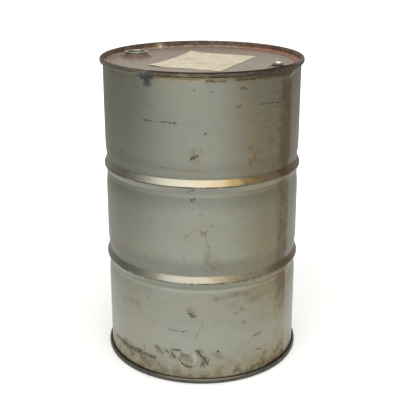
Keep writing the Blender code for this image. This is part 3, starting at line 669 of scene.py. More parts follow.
    # bare metal in the nick, shown by a painted glint
    apart = make("VectorMath DISTANCE", {0: solid, 1: (*onLevel(head["glintPixel"], 0.898), 0.898)}, 1)
    paintedGlint = make("MapRange SMOOTHSTEP", {0: apart, 1: 0.0065, 2: 0.0035})
    colour = make("Mix RGBA", {0: paintedGlint, 6: colour, 7: headFinish["paintedNickGlint"]}, 2)
    flake = make("MapRange LINEAR", {0: speck, 1: 0.36, 2: 0.56, 3: 0.6, 4: 1.1})
    dark = make("Math MULTIPLY", {0: dark, 1: flake})
    dark = make("Math MULTIPLY", {0: dark, 1: outside})
    dark = make("Clamp", {0: dark})
    colour = make("Mix RGBA", {0: dark, 6: colour, 7: headFinish["dirt"]}, 2)
    splash = make("Math MULTIPLY", {0: splash, 1: outside})
    colour = make("Mix RGBA", {0: splash, 6: colour, 7: headFinish["splash"]}, 2)

    hidden = make("Math MAXIMUM", {0: dark, 1: splash})
    hidden = make("Math MAXIMUM", {0: hidden, 1: crown})
    metal = make("Math SUBTRACT", {0: outside, 1: hidden})
    metal = make("Clamp", {0: metal})
    rough = make("MapRange LINEAR", {0: metal, 3: 0.62, 4: 0.40})
    matt = make("MapRange LINEAR", {0: patch, 1: 0.3, 2: 0.7, 3: -0.12, 4: 0.12})
    rough = make("Math ADD", {0: rough, 1: matt})
    rough = make("Math MULTIPLY_ADD", {0: crown, 1: 0.25, 2: rough})
    gloss = make("MapRange", {0: crown, 3: 0.5, 4: 0.06})
    relief = make("Math ADD", {0: speck, 1: patch})
    bump = make("Bump", {"Strength": 0.25, "Distance": 0.0006, "Height": relief})
    return connected(made, shader, {"Base Color": colour, "Metallic": metal, "Roughness": rough,
                                    "Specular IOR Level": gloss, "Normal": bump})


wetFinish = {
    "rust": ((0.45, "#3a2c23"), (0.60, "#5d4130"), (0.75, "#7d5437"), (0.9, "#95714f")),
    "scuffed": ((0.45, "#3e403c"), (0.66, "#595b54"), (0.80, "#5a5042"), (0.95, "#6b523c")),
    "dust": "#8f8170",
}


def makeRustedSteel():
    # The bottom head stands in the wet: its rim is dark grey scuffed steel, and the recess under it rust
    made, shader, make = newMaterial("rustedSteel")
    solid = make("TexCoord", output=3)
    level = make("VectorMath MULTIPLY", {0: solid, 1: (1.0, 1.0, 0.0)})
    reach = make("VectorMath LENGTH", {0: level}, 1)
    # rust blooms of 25 mm and a crust of 2 mm grains
    patch = make("TexNoise", {"Vector": solid, "Scale": 40.0, "Detail": 6.0, "Roughness": 0.7})
    crust = make("TexNoise", {"Vector": solid, "Scale": 420.0, "Detail": 3.0, "Roughness": 0.7})
    bloom = make("Math MULTIPLY_ADD", {0: crust, 1: 0.3, 2: patch})
    rust = make("ValToRGB", {0: bloom}, stops=wetFinish["rust"])
    scuffed = make("ValToRGB", {0: bloom}, stops=wetFinish["scuffed"])
    rim = make("MapRange SMOOTHSTEP", {0: reach, 1: 0.2850, 2: 0.2865})
    colour = make("Mix RGBA", {0: rim, 6: rust, 7: scuffed}, 2)
    # its upper edge is rubbed and holds pale dust, with a painted highlight that is strongest in front
    _, y, height = make("SeparateXYZ", {0: solid}).node.outputs
    edge = make("MapRange SMOOTHSTEP", {0: height, 1: 0.0118, 2: 0.0132})
    edge = make("Math MULTIPLY", {0: edge, 1: rim})
    paintedFrontLight = make("MapRange SMOOTHSTEP", {0: y, 1: -0.255, 2: -0.285, 3: 0.12, 4: 0.85})
    edge = make("Math MULTIPLY", {0: edge, 1: paintedFrontLight})
    colour = make("Mix RGBA", {0: edge, 6: colour, 7: wetFinish["dust"]}, 2)
    metal = make("MapRange", {0: bloom, 1: 0.68, 2: 0.86, 3: 0.9, 4: 0.1})
    metal = make("Math MULTIPLY", {0: metal, 1: rim})
    metal = make("Math SUBTRACT", {0: metal, 1: edge})
    metal = make("Clamp", {0: metal})
    rough = make("MapRange LINEAR", {0: metal, 3: 0.85, 4: 0.45})
    bump = make("Bump", {"Strength": 0.4, "Distance": 0.0008, "Height": bloom})
    return connected(made, shader, {"Base Color": colour, "Metallic": metal, "Roughness": rough, "Normal": bump})


zincFinish = {
    "plate": ((0.30, "#aeac99"), (0.50, "#96937f"), (0.66, "#736e5b"), (0.8, "#564b3b")),
    "wipedWithPaintedSheen": "#d2cfbd", "dirt": "#4a3a2c",
}


def makeZincPlate():
    # Zinc plating, yellowish and dulled white by age; grease and rust dust lie in the recesses and thread, darkened
    # further there as painted shade
    made, shader, make = newMaterial("zincPlate")
    solid = make("TexCoord", output=3)
    height = make("SeparateXYZ", {0: solid}, 2)
    # tarnish of 8 mm and specks of 1.5 mm
    patch = make("TexNoise", {"Vector": solid, "Scale": 120.0, "Detail": 5.0, "Roughness": 0.65})
    speck = make("TexNoise", {"Vector": solid, "Scale": 650.0, "Detail": 2.0, "Roughness": 0.7})
    colour = make("ValToRGB", {0: patch}, stops=zincFinish["plate"])
    # dirt and painted shade low in the recesses
    low = make("MapRange SMOOTHSTEP", {0: height, 1: panelTop + 0.0165, 2: panelTop + 0.0120, 4: 0.85})
    dusty = make("MapRange LINEAR", {0: patch, 1: 0.34, 2: 0.60, 3: 0.55, 4: 1.1})
    dirt = make("Math MULTIPLY", {0: low, 1: dusty})
    # the vent's raised middle is wiped clean and given a pale painted sheen
    apart = make("VectorMath DISTANCE", {0: solid, 1: tuple(closureCentre(closures["vent"]) + [0.0, 0.0, 0.015])},
                 1)
    wipedWithPaintedSheen = make("MapRange SMOOTHSTEP", {0: apart, 1: 0.0085, 2: 0.0125})
    dirt = make("Math MULTIPLY", {0: dirt, 1: wipedWithPaintedSheen})
    colour = make("Mix RGBA", {0: wipedWithPaintedSheen, 6: zincFinish["wipedWithPaintedSheen"], 7: colour}, 2)
    spots = make("MapRange", {0: speck, 1: 0.62, 2: 0.72, 4: 0.7})
    dirt = make("Math MAXIMUM", {0: dirt, 1: spots})
    dirt = make("Clamp", {0: dirt})
    colour = make("Mix RGBA", {0: dirt, 6: colour, 7: zincFinish["dirt"]}, 2)
    metal = make("MapRange", {0: dirt, 3: 1.0, 4: 0.2})
    rough = make("MapRange LINEAR", {0: patch, 1: 0.3, 2: 0.7, 3: 0.22, 4: 0.40})
    rough = make("Math MULTIPLY_ADD", {0: dirt, 1: 0.3, 2: rough})
    bump = make("Bump", {"Strength": 0.15, "Distance": 0.0003, "Height": speck})
    return connected(made, shader, {"Base Color": colour, "Metallic": metal, "Roughness": rough, "Normal": bump})


def makeBlackRubber():
    # Moulded nitrile rubber: matt black, with pale dust in grains of 1.5 mm
    made, shader, make = newMaterial("nitrileRubber")
    solid = make("TexCoord", output=3)
    grain = make("TexNoise", {"Vector": solid, "Scale": 650.0, "Detail": 3.0, "Roughness": 0.6})
    colour = make("ValToRGB", {0: grain}, stops=((0.40, "#201e1d"), (0.58, "#2d2a28"), (0.75, "#5a5148")))
    rough = make("MapRange", {0: grain, 1: 0.3, 2: 0.7, 3: 0.52, 4: 0.72})
    bump = make("Bump", {"Strength": 0.2, "Distance": 0.0002, "Height": grain})
    return connected(made, shader, {"Base Color": colour, "Roughness": rough, "Normal": bump})


# Paper label
label = {
    "size": (0.2159, 0.2794), "place": (0.0012, 0.0164), "thickness": 0.0003, "wornEdge": 0.006,
    "curl": 0.0040, "curlWidth": 0.050, "ripple": 0.0002, "steps": (72, 90),
    "paper": ((0.34, "#cbc1a7"), (0.50, "#c4baa1"), (0.62, "#b9ae93"), (0.75, "#a89a7f")),
    "smudge": "#8f836b", "edge": "#9a8868",
}


def makeAgedPaper():
    # Uncoated wood-pulp paper gone cream: fibres of 3 mm, damp stains of 60 mm, darker edges, and faint grey
    # streaks along its width where a worn print has faded to nothing
    made, shader, make = newMaterial("agedPaper")
    sheet = make("UVMap", uv_map="UVMap")
    place = make("VectorMath SUBTRACT", {0: sheet, 1: (label["place"][0], label["place"][1], 0.0)})
    size = make("VectorMath ABSOLUTE", {0: place})
    fromMiddle = make("SeparateXYZ", {0: size}).node.outputs
    stain = make("TexNoise", {"Vector": sheet, "Scale": 17.0, "Detail": 5.0, "Roughness": 0.6})
    fibre = make("TexNoise", {"Vector": sheet, "Scale": 330.0, "Detail": 4.0, "Roughness": 0.7})
    colour = make("ValToRGB", {0: stain}, stops=label["paper"])
    long = make("VectorMath MULTIPLY", {0: sheet, 1: (150.0, 16.0, 1.0)})
    smudge = make("TexNoise", {"Vector": long, "Scale": 1.0, "Detail": 4.0, "Roughness": 0.65})
    smudge = make("MapRange SMOOTHSTEP", {0: smudge, 1: 0.50, 2: 0.70, 4: 0.6})
    colour = make("Mix RGBA", {0: smudge, 6: colour, 7: label["smudge"]}, 2)
    across = make("MapRange", {0: fromMiddle[0], 1: label["size"][0] / 2 - label["wornEdge"],
                               2: label["size"][0] / 2})
    along = make("MapRange", {0: fromMiddle[1], 1: label["size"][1] / 2 - label["wornEdge"],
                              2: label["size"][1] / 2})
    worn = make("Math MAXIMUM", {0: across, 1: along})
    worn = make("Math MULTIPLY", {0: worn, 1: 0.35})
    colour = make("Mix RGBA", {0: worn, 6: colour, 7: label["edge"]}, 2)
    shader.inputs["Roughness"].default_value = 0.88
    bump = make("Bump", {"Strength": 0.25, "Distance": 0.0003, "Height": fibre})
    return connected(made, shader, {"Base Color": colour, "Normal": bump})


# Rolled shell
shell = {
    "hoopHeights": (0.592, 0.3125),
    # distance from a hoop's middle, downwards negative, and how far the wall stands out there
    "hoopSection": ((-0.060, 0.0), (-0.030, -0.0026), (-0.0185, -0.0031), (-0.0020, 0.0049),
                    (0.0012, 0.0050), (0.0195, -0.0031), (0.028, -0.0028), (0.054, 0.0)),
    "softening": 0.0013,
    "fineStep": 0.0004,          # spacing of the heights at which the section is worked out
    "hoopReach": 0.024, "hoopRows": 29, "plainRows": 50, "plainClear": 0.028,
    "weldRise": 0.0003,
    "weldWidth": 0.0040,
}


def hem(crownRadius, turnRadius):
    # Middle of one sheet in the rolled seam: over the crown, down, round the turn and up to its tip.
    crownHeight = steel["height"] - 2.5 * layer - steel["sheet"] / 2
    turnHeight = steel["height"] - 0.0144 + 1.5 * layer + steel["sheet"] / 2
    crown = arcPoints((wall + 1.5 * layer, crownHeight), crownRadius, 180, 0, 12)
    turn = arcPoints((wall + 2.5 * layer, turnHeight), turnRadius, 0, -180, 8)
    tip = [[turn[-1, 0], steel["height"] - 0.0050]]
    return np.concatenate([crown, turn, tip])


def flipped(section):
    # The same section at the other end of the drum, walked the other way.
    return np.stack([section[::-1, 0], steel["height"] - section[::-1, 1]], -1)


def wallRadius(z):
    # Straight runs between the hoop section's points, softened by a bell-weighted running mean.
    fine = np.arange(0.0, steel["height"], shell["fineStep"])
    offset = sum(np.interp(fine - height, *zip(*shell["hoopSection"]), 0.0, 0.0) for height in shell["hoopHeights"])
    reach = np.arange(-16, 17) * shell["fineStep"]
    weights = bell(reach / shell["softening"] / math.sqrt(2))
    return wall + np.interp(z, fine, np.convolve(offset, weights / weights.sum(), "same"))


def makeShell():
    # Section of the wall between two hems, carried round the axis; the weld stands out at the back as a bell curve
    topHem = hem(1.5 * layer, 0.5 * layer)
    low, high = steel["height"] - topHem[0, 1], topHem[0, 1]
    around = np.linspace(-shell["hoopReach"], shell["hoopReach"], shell["hoopRows"])
    hoopRows = [height + around for height in shell["hoopHeights"]]
    plainRows = [z for z in np.linspace(low, high, shell["plainRows"])[1:-1]
                 if min(abs(z - height) for height in shell["hoopHeights"]) > shell["plainClear"]]
    heights = np.sort(np.concatenate([plainRows, *hoopRows]))
    section = np.concatenate([flipped(topHem), np.stack([wallRadius(heights), heights], -1), topHem])
    points = turnedPoints(section[:, 0], section[:, 1], steel["columns"])
    fromWeld = (math.pi - np.abs(turnAngles(steel["columns"]))) * steel["shellRadius"]
    onWall = (section[:, 1] > 0.02) & (section[:, 1] < 0.88)
    rise = shell["weldRise"] * bell(fromWeld / shell["weldWidth"])[None, :] * onWall[:, None]
    points[..., :2] *= 1 + rise[..., None] / wall
    points = bend(points)
    faces = gridFaces(len(section), steel["columns"])
    piece = addPiece("body_shell_fine", points, faces.tolist(), bareSteel, "drum", "body_shell",
                     uv=aroundUv(points, [faces]))
    thicken(piece, steel["sheet"])


# Pressed heads; the bottom one is the top one turned over
head = {
    "scrapePixel": (160.0, 46.0), "glintPixel": (144.4, 71.7),
    "cornerRadius": 0.0060,
    "ledgeHeight": steel["height"] - 0.0180,
    "stepRadius": 0.2665,
    "stepWidth": 0.0036,
    "panelRadius": 0.2620,
    "sagDepth": 0.0007,
    "gridSpacing": 0.013, "gridRatio": 0.866, "gridHalf": (24, 28),
}

closures = {
    "bung": {
        "reach": -0.2135, "columns": 128, "threadRadius": 0.0290675, "pitch": 0.002309, "threadDepth": 0.001479,
        "ringRadius": 0.0468, "pocketFlats": 0.0420, "pocketHeight": 0.0045, "flangeFlats": 0.0375,
        "neckWall": 0.0018, "neckTop": 0.0140, "packingOuter": 0.0360, "washer": 0.0017,
        "washerOuter": 0.0325, "rimRadius": 0.0340, "rimTop": 0.0175, "shankBottom": 0.0012},
    "vent": {
        "reach": 0.2302, "columns": 96, "threadRadius": 0.0126395, "pitch": 0.001814, "threadDepth": 0.001162,
        "ringRadius": 0.0305, "pocketFlats": 0.0260, "pocketHeight": 0.0036, "flangeFlats": 0.0220,
        "neckWall": 0.0024, "neckTop": 0.0068, "packingOuter": 0.0205, "washer": 0.0012,
        "washerOuter": 0.0168, "rimRadius": 0.0180, "rimTop": 0.0098, "shankBottom": -0.0016},
}
fittings = {"pocketTaper": 0.0025, "flange": 0.0030, "packing": 0.0014, "lip": 0.0020, "edge": 0.0004}


def closureCentre(part):
    # On the panel, at its reach along the line through both closures
    return np.array([part["reach"] * math.cos(closureBearing), part["reach"] * math.sin(closureBearing), panelTop])


def flatSided(angle, sides, power=30):
    # Radius of a regular polygon with unit apothem and softened corners, by a power sum of its flats' cosines.
    flats = np.arange(sides) * (2 * math.pi / sides)
    cosines = np.maximum(0, np.cos(angle[..., None] - flats))
    return (cosines ** power).sum(-1) ** (-1 / power)


def closurePoints(part, rows):
    # Rows of (radius or half width, height, share of the eight-sided outline) about a closure's axis.
    rows = np.array(rows, float)
    angle = turnAngles(part["columns"])
    outline = 1 + (flatSided(angle, 8) - 1)[None, :] * rows[:, 2:3]
    points = turnedPoints(rows[:, :1] * outline, rows[:, 1], part["columns"])
    return placeAt(part, points)


def placeAt(part, points):
    # Turns points made about +Z to the closures' bearing and moves them to the closure's axis.
    cosine, sine = math.cos(closureBearing), math.sin(closureBearing)
    x, y = points[..., 0], points[..., 1]
    return np.stack([x * cosine - y * sine, x * sine + y * cosine, points[..., 2]], -1) + closureCentre(part)


def fillet(start, corner, end, radius, steps=5):
    # Rounds the corner between two straight runs with an arc-like quadratic curve.
    start, corner, end = (np.array(p, float) for p in (start, corner, end))
    before = corner + (start - corner) * min(0.5, radius / np.linalg.norm(start - corner))
    after = corner + (end - corner) * min(0.5, radius / np.linalg.norm(end - corner))
    t = np.linspace(0, 1, steps)[:, None]
    return (1 - t) ** 2 * before + 2 * t * (1 - t) * corner + t ** 2 * after


def rounded(points, radii, steps=5, loop=False):
    # A run of points with each corner rounded by its own radius; a zero keeps it sharp.
    points = [np.array(p, float) for p in points]
    count = len(points)
    path = []
    for i, (point, radius) in enumerate(zip(points, radii)):
        if radius and (loop or 0 < i < count - 1):
            path.extend(fillet(points[i - 1], point, points[(i + 1) % count], radius, steps))
        else:
            path.append(point)
    return np.array(path)


def sag(x, y):
    # Oil-canning of the panel: never above the drawn level, flat at its edge and round the closures.
    r = np.hypot(x, y)
    hollow = 0.5 + 0.28 * np.sin(14 * x + 6 * y + 0.5) + 0.22 * np.cos(9 * x - 17 * y)
    depth = head["sagDepth"] * hollow * smooth((0.250 - r) / 0.10)
    for part in closures.values():
        centre = closureCentre(part)
        depth = depth * smooth((np.hypot(x - centre[0], y - centre[1]) - part["ringRadius"]) / 0.03)
    return -depth


def pocketRows(part):
    # Middle of the head's sheet from the flat panel over the pressed pocket and up the sleeve.
    half = steel["sheet"] / 2
    sleeve = part["threadRadius"] + steel["gap"] / 2 + part["neckWall"] + steel["gap"] + half
    flats, high = part["pocketFlats"], part["pocketHeight"] - half
    sleeveTop = part["neckTop"] - steel["sheet"] - steel["gap"]
    path = [(part["ringRadius"], -half, 0), (flats + 0.0006, -half, 1), (flats - fittings["pocketTaper"], high, 1),
            (sleeve + 0.0022, high, 0), (sleeve, high + 0.0012, 0), (sleeve, sleeveTop, 0)]
    return rounded(path, (0, 0.0022, 0.0020, 0.0018, 0.0012, 0))


def headRuns():
    # Runs of the head's section: the hem from its tip inwards, the corner as an arc, the step to the panel as a
    # smooth step
    radius, ledge = head["cornerRadius"], head["ledgeHeight"] - steel["sheet"] / 2
    panel = panelTop - steel["sheet"] / 2
    outer = hem(2.5 * layer, 1.5 * layer)[::-1]
    corner = arcPoints((wall - layer - radius, ledge + radius), radius, 0, -90, 8)
    t = np.linspace(0, 1, 7)
    step = np.stack([head["stepRadius"] - t * head["stepWidth"], ledge + (panel - ledge) * smooth(t)], -1)
    return outer, corner, step, panel


def makeTopHead():
    # The rim carried round the axis, both pockets about their own axes, and a triangular grid of points between
    # them
    outer, corner, step, panel = headRuns()
    innerWall = np.stack([np.full(3, wall - layer), np.linspace(outer[-1, 1], corner[0, 1], 5)[1:-1]], -1)
    rim = np.concatenate([outer, innerWall, corner, step, [[head["panelRadius"], panel]]])
    # the walk goes from the hem's tip inwards, so its outer side faces up and out
    columns = steel["columns"]
    points = [turnedPoints(rim[:, 0], rim[:, 1], columns).reshape(-1, 3)]
    faces = [gridFaces(len(rim), columns)]
    count = len(rim) * columns
    border = np.arange(count - columns, count)
    rings = []
    for part in closures.values():
        rows = pocketRows(part)
        points.append(closurePoints(part, rows).reshape(-1, 3))
        faces.append(gridFaces(len(rows), part["columns"], count))
        rings.append(np.arange(count, count + part["columns"]))
        count += len(rows) * part["columns"]
    everything = np.concatenate(points)
    # flat panel between the rim and the two pockets, on a triangular grid of points
    spacing = head["gridSpacing"]
    across, along = (np.arange(-half, half + 1) * spacing for half in head["gridHalf"])
    gx, gy = np.meshgrid(across, along * head["gridRatio"])
    gx = gx + (np.arange(gx.shape[0]) % 2)[:, None] * spacing / 2
    free = np.hypot(gx, gy) < head["panelRadius"] - 0.6 * spacing
    for part in closures.values():
        centre = closureCentre(part)
        free &= np.hypot(gx - centre[0], gy - centre[1]) > part["ringRadius"] + 0.3 * spacing
    inner = np.stack([gx[free], gy[free], np.full(free.sum(), panel)], -1)
    everything = np.concatenate([everything, inner])
    used = np.concatenate([border, *rings, np.arange(count, count + len(inner))])
    loops = [len(border)] + [len(r) for r in rings]
    starts = np.cumsum([0] + loops)
    edges = [(int(s + i), int(s + (i + 1) % n)) for s, n in zip(starts, loops) for i in range(n)]
    _, _, triangles, source, _, _ = delaunay_2d_cdt([Vector(p) for p in everything[used][:, :2]], edges, [], 0,
                                                    1e-6)
    order = np.array([s[0] for s in source])
    triangles = used[order[np.array(triangles)]]
    middle = everything[triangles].mean(1)
    keep = np.hypot(middle[:, 0], middle[:, 1]) < head["panelRadius"]
    for part in closures.values():
        centre = closureCentre(part)
        corners = np.hypot(everything[triangles, 0] - centre[0], everything[triangles, 1] - centre[1])
        keep &= ~(corners < part["ringRadius"] + 1e-6).all(1)
    triangles = triangles[keep]
    across = everything[triangles[:, 1]] - everything[triangles[:, 0]]
    along = everything[triangles[:, 2]] - everything[triangles[:, 0]]
    upward = np.cross(across, along)[:, 2] > 0
    triangles = np.where(upward[:, None], triangles, triangles[:, ::-1])
    everything[:, 2] += sag(everything[:, 0], everything[:, 1]) * (everything[:, 2] < panelTop)
    everything = bend(everything)
    faces = np.concatenate(faces)
    return addPiece("top_head_fine", everything, faces.tolist() + triangles.tolist(), filmedSteel,
                    "drum", "top_head", uv=aroundUv(everything, [faces, triangles]))


def makeBottomHead():
    # The same runs with a plain disc, turned over and carried round the axis
    outer, corner, step, panel = headRuns()
    disc = np.stack([np.linspace(head["panelRadius"], 0, 14), np.full(14, panel)], -1)
    section = flipped(np.concatenate([outer, corner, step, disc]))
    points = turnedPoints(section[:, 0], section[:, 1], steel["columns"])
    return addTurned("bottom_head_fine", points, wetSteel, "bottom_head", "drum",
                     poles=(True, False))


def addTurned(name, points, material, node, body, poles=(False, False), loop=False, sharp=40):
    # A grid of rows round an axis; a pole's row becomes one point with triangles to its neighbours.
    rows, columns = points.shape[:2]
    faces = gridFaces(rows, columns, wrapRows=loop)
    flat = points.reshape(-1, 3)
    faces = faces.tolist()
    if poles[0]:
        faces = [[0, f[2], f[3]] if f[0] < columns else f for f in faces]
    if poles[1]:
        last = (rows - 1) * columns
        faces = [[f[0], f[1], last] if f[2] >= last else f for f in faces]
    used = np.unique(np.concatenate([np.ravel(f) for f in faces]))
    renumber = np.zeros(len(flat), int)
    renumber[used] = np.arange(len(used))
    faces = [renumber[f].tolist() for f in faces]
    return addPiece(name, flat[used], faces, material, body, node, sharp)


def threadWave(angle, z, part):
    # Triangle wave of a right-hand thread: +1 on a crest, -1 in a root, rising one pitch each turn.
    phase = np.mod((z - part["pitch"] * angle / (2 * math.pi)) / part["pitch"], 1.0)
    return np.clip(1.25 * (4 * np.abs(phase - 0.5) - 1), -1, 1)


def threadRows(part, low, high, mean, side):
    # Rows of a threaded cylinder. side is 1 on the plug and -1 in the bore; both ends run out clear.
    rows = int((high - low) / part["pitch"] * 12)
    z = np.linspace(low, high, rows)[:, None]
    angle = turnAngles(part["columns"])[None, :]
    fade = smooth((z - low) / part["pitch"]) * smooth((high - z) / part["pitch"])
    wave = threadWave(angle, z, part)
    height = part["threadDepth"] / 2
    radius = mean + height * side * (fade * (side * wave + 1) - 1)
    return radius, np.broadcast_to(z, radius.shape)


def stackRows(part, blocks):
    # Joins plain (radius, height, eight-sided share) rows and threaded blocks into one grid.
    angle = turnAngles(part["columns"])
    radii, heights = [], []
    for block in blocks:
        if isinstance(block, tuple):
            radii.append(block[0])
            heights.append(block[1])
        else:
            block = np.array(block, float)
            share = block[:, 2:3] if block.shape[1] > 2 else np.zeros((len(block), 1))
            radii.append(block[:, :1] * (1 + (flatSided(angle, 8) - 1)[None, :] * share))
            heights.append(np.broadcast_to(block[:, 1:2], (len(block), part["columns"])))
    return turnedPoints(np.concatenate(radii), np.concatenate(heights), part["columns"])


def makeFlange(name):
    # Eight-sided plate with a round neck curled over the sleeve, and a threaded bore, as rows round its axis
    part = closures[name]
    gap, sheet = steel["gap"], steel["sheet"]
    bore = part["threadRadius"] + gap / 2
    neck = bore + part["neckWall"]
    top = part["pocketHeight"] - sheet - fittings["packing"] - 2 * gap
    low, flats, lip = top - fittings["flange"], part["flangeFlats"], neck + fittings["lip"]
    outside = rounded([(bore + 0.0011, low, 0), (flats, low, 1), (flats, top, 1), (neck, top, 0),
                       (neck, part["neckTop"] - sheet, 0),
                       (lip, part["neckTop"] - sheet, 0), (lip, part["neckTop"], 0), (bore + 0.0011,
                                                                                      part["neckTop"], 0)],
                      (0, 0.0005, 0.0005, 0.0003, 0.0003, 0.0004, 0.0006, 0))
    radius, heights = threadRows(part, low + 0.0003, part["neckTop"] - 0.0004, bore, -1)
    points = placeAt(part, stackRows(part, [outside, (radius[::-1], heights[::-1])]))
    return addTurned(name + "_flange_fine", points, zinc, name + "_flange", "drum", loop=True)


def makeGasket(name, kind):
    # Ring of rounded rectangular section: packing under the head, or the washer under a plug's rim
    part = closures[name]
    gap, sheet = steel["gap"], steel["sheet"]
    if kind == "flange":
        inner, outer = part["threadRadius"] + gap / 2 + part["neckWall"] + gap, part["packingOuter"]
        low = part["pocketHeight"] - sheet - fittings["packing"] - gap
        high, body = low + fittings["packing"], "drum"
    else:
        inner, outer = part["threadRadius"] + gap / 2, part["washerOuter"]
        low = part["neckTop"] + gap
        high, body = low + part["washer"], name + "_gasket"
    section = rounded([(inner, low), (outer, low), (outer, high), (inner, high)], (fittings["edge"],) * 4,
                      loop=True)
    points = placeAt(part, turnedPoints(section[:, 0], section[:, 1], part["columns"]))
    return addTurned(f"{name}_{kind}_gasket_fine", points, rubber, f"{name}_{kind}_gasket", body,
                     loop=True)


bungPlug = {"cupWall": 0.0016, "floor": 0.0027, "lugLength": 0.0095, "lugWidth": 0.0090, "lugTop": 0.0125}
ventPlug = {"bossFlats": 0.0110, "bossTop": 0.0175, "domeRadius": 0.01452, "coreRadius": 0.0085}


def makeBungPlug():
    # Cup with a turned-down rim; its floor rises as two block-shaped lugs by smooth steps in x and y.
    part = closures["bung"]
    gap, sheet = steel["gap"], steel["sheet"]
    shank = part["threadRadius"] - gap / 2
    low, top, rim = part["shankBottom"], part["rimTop"], part["rimRadius"]
    under = part["neckTop"] + part["washer"] + 2 * gap
    recess, floor = shank - bungPlug["cupWall"], bungPlug["floor"]
    below = [(0, low), (0.012, low), (shank - 0.0020, low), (shank - 0.0012, low + 0.0004)]
    thread = threadRows(part, low + 0.0008, part["neckTop"] - 0.0003, shank, 1)
    collar = rounded([(shank - 0.0007, part["neckTop"]), (shank - 0.0002, under), (rim - sheet, under),
                      (rim - sheet, under - sheet), (rim, under - sheet), (rim, top), (recess + 0.0002,
                                                                                       top), (recess,
                                                                                              floor + 0.004)],
                     (0, 0, 0.0002, 0.0003, 0.0003, 0.0011, 0.0007, 0))
    radii = np.linspace(recess, 0, 44)
    bowl = floor + 0.0036 * smooth((radii - recess + 0.0034) / 0.0034)
    points = stackRows(part, [below, thread, collar, np.stack([radii[1:], bowl[1:]], -1)])
    first = len(points) - len(radii) + 1
    x, y = points[first:, :, 0], points[first:, :, 1]
    inner = recess - bungPlug["lugLength"]
    lug = smooth((np.abs(x) - inner) / 0.0012) * smooth((bungPlug["lugWidth"] / 2 + 0.0006 - np.abs(y)) / 0.0012)
    # the wall row stays, so a lug runs into it
    points[first:, :, 2] += (bungPlug["lugTop"] - points[first:, :, 2]) * lug * (points[first:, :,
                                                                                        2] < bungPlug["lugTop"])
    return addTurned("bung_plug_fine", placeAt(part, points), zinc, "bung_plug", "bung",
                     poles=(True, True), sharp=50)


def makeVentPlug():
    # Plug cored from below; its boss is the lesser radius of a hexagon and a dome at each height.
    part = closures["vent"]
    gap = steel["gap"]
    shank = part["threadRadius"] - gap / 2
    low, top, rim = part["shankBottom"], part["rimTop"], part["rimRadius"]
    under = part["neckTop"] + part["washer"] + 2 * gap
    core, coreTop = ventPlug["coreRadius"], top - 0.0024
    below = rounded([(0, coreTop), (core, coreTop), (core, low), (shank - 0.0014, low),
                     (shank - 0.0006, low + 0.0005)],
                    (0, 0.0008, 0.0003, 0.0003, 0))
    thread = threadRows(part, low + 0.0006, part["neckTop"] - 0.0003, shank, 1)
    collar = rounded([(shank - 0.0006, part["neckTop"]), (shank - 0.0002, under), (rim, under), (rim, top),
                      (ventPlug["bossFlats"] * 1.16, top)],
                     (0, 0, 0.0003, 0.0007, 0))
    rise = np.radians(np.linspace(28, 90, 22))[:, None]
    dome = ventPlug["domeRadius"] * np.cos(rise)
    hexagon = ventPlug["bossFlats"] * flatSided(turnAngles(part["columns"]), 6, 44)[None, :]
    boss = np.minimum(dome, hexagon)
    height = ventPlug["bossTop"] - ventPlug["domeRadius"] * (1 - np.sin(rise))
    height = np.broadcast_to(np.maximum(height, top), boss.shape)
    points = placeAt(part, stackRows(part, [below, thread, collar, (boss, height)]))
    return addTurned("vent_plug_fine", points, zinc, "vent_plug", "vent", poles=(True, True), sharp=28)


def makeLabel():
    # Sheet on the panel: it follows the panel's sag, ripples a little, and lifts at its two left corners
    # by (1 - distance from the left edge)^2 times (distance from the middle line)^3.
    length, width = label["size"]
    u, v = np.meshgrid(np.linspace(-0.5, 0.5, label["steps"][0]), np.linspace(-0.5, 0.5, label["steps"][1]),
                       indexing="ij")
    lift = label["curl"] * np.maximum(0, 1 - (u + 0.5) * length / label["curlWidth"]) ** 2 * np.abs(2 * v) ** 3
    bow = 0.0035 * (1 - 4 * v * v) * smooth((0.1 - u) / 0.6)
    x = u * length + label["place"][0] + bow
    y = v * width + label["place"][1]
    cosine, sine = math.cos(closureBearing), math.sin(closureBearing)
    worldX, worldY = x * cosine - y * sine, x * sine + y * cosine
    ripple = label["ripple"] * (1 + np.sin(9 * u + 5 * v + 1) * np.cos(7 * v - 4 * u))
    z = panelTop + steel["gap"] + sag(worldX, worldY) * 0.9 + lift + ripple
    points = np.stack([worldX, worldY, z + label["thickness"] / 2], -1)
    rows, columns = label["steps"]
    faces = gridFaces(rows, columns)
    faces = faces[(faces[:, 1] > faces[:, 0])]
    uv = np.stack([x, y], -1).reshape(-1, 2)[faces]
    piece = addPiece("paper_label_fine", points, faces.tolist(), paper, "drum", "paper_label", uv=uv)
    thicken(piece, label["thickness"])


bareSteel = makeBareSteel()
filmedSteel = makeHeadSteel()
wetSteel = makeRustedSteel()
zinc = makeZincPlate()
rubber = makeBlackRubber()
paper = makeAgedPaper()
print("finishes made")

makeShell()
thicken(makeTopHead(), steel["sheet"])
thicken(makeBottomHead(), steel["sheet"])
for closure in closures:
    makeFlange(closure)
    makeGasket(closure, "flange")
    makeGasket(closure, "plug")
makeBungPlug()
makeVentPlug()
makeLabel()
print("pieces made")


def addCamera():
    # A pinhole camera: focal length and shift turned from pixels to the film's 36 mm
    lens = bpy.data.cameras.new("camera")
    lens.sensor_width = 36.0
    pixels = camera["imagePixels"]
    lens.lens = camera["focalPixels"] * lens.sensor_width / pixels
    lens.shift_x = -(camera["axisPixel"][0] - pixels / 2) / pixels
    lens.shift_y = (camera["axisPixel"][1] - pixels / 2) / pixels
    rig = bpy.data.objects.new("camera", lens)
    rig.location = camera["place"]
    rig.rotation_euler = (math.pi / 2 - camera["pitchDown"], 0, 0)
    bpy.context.scene.collection.objects.link(rig)
    bpy.context.scene.camera = rig


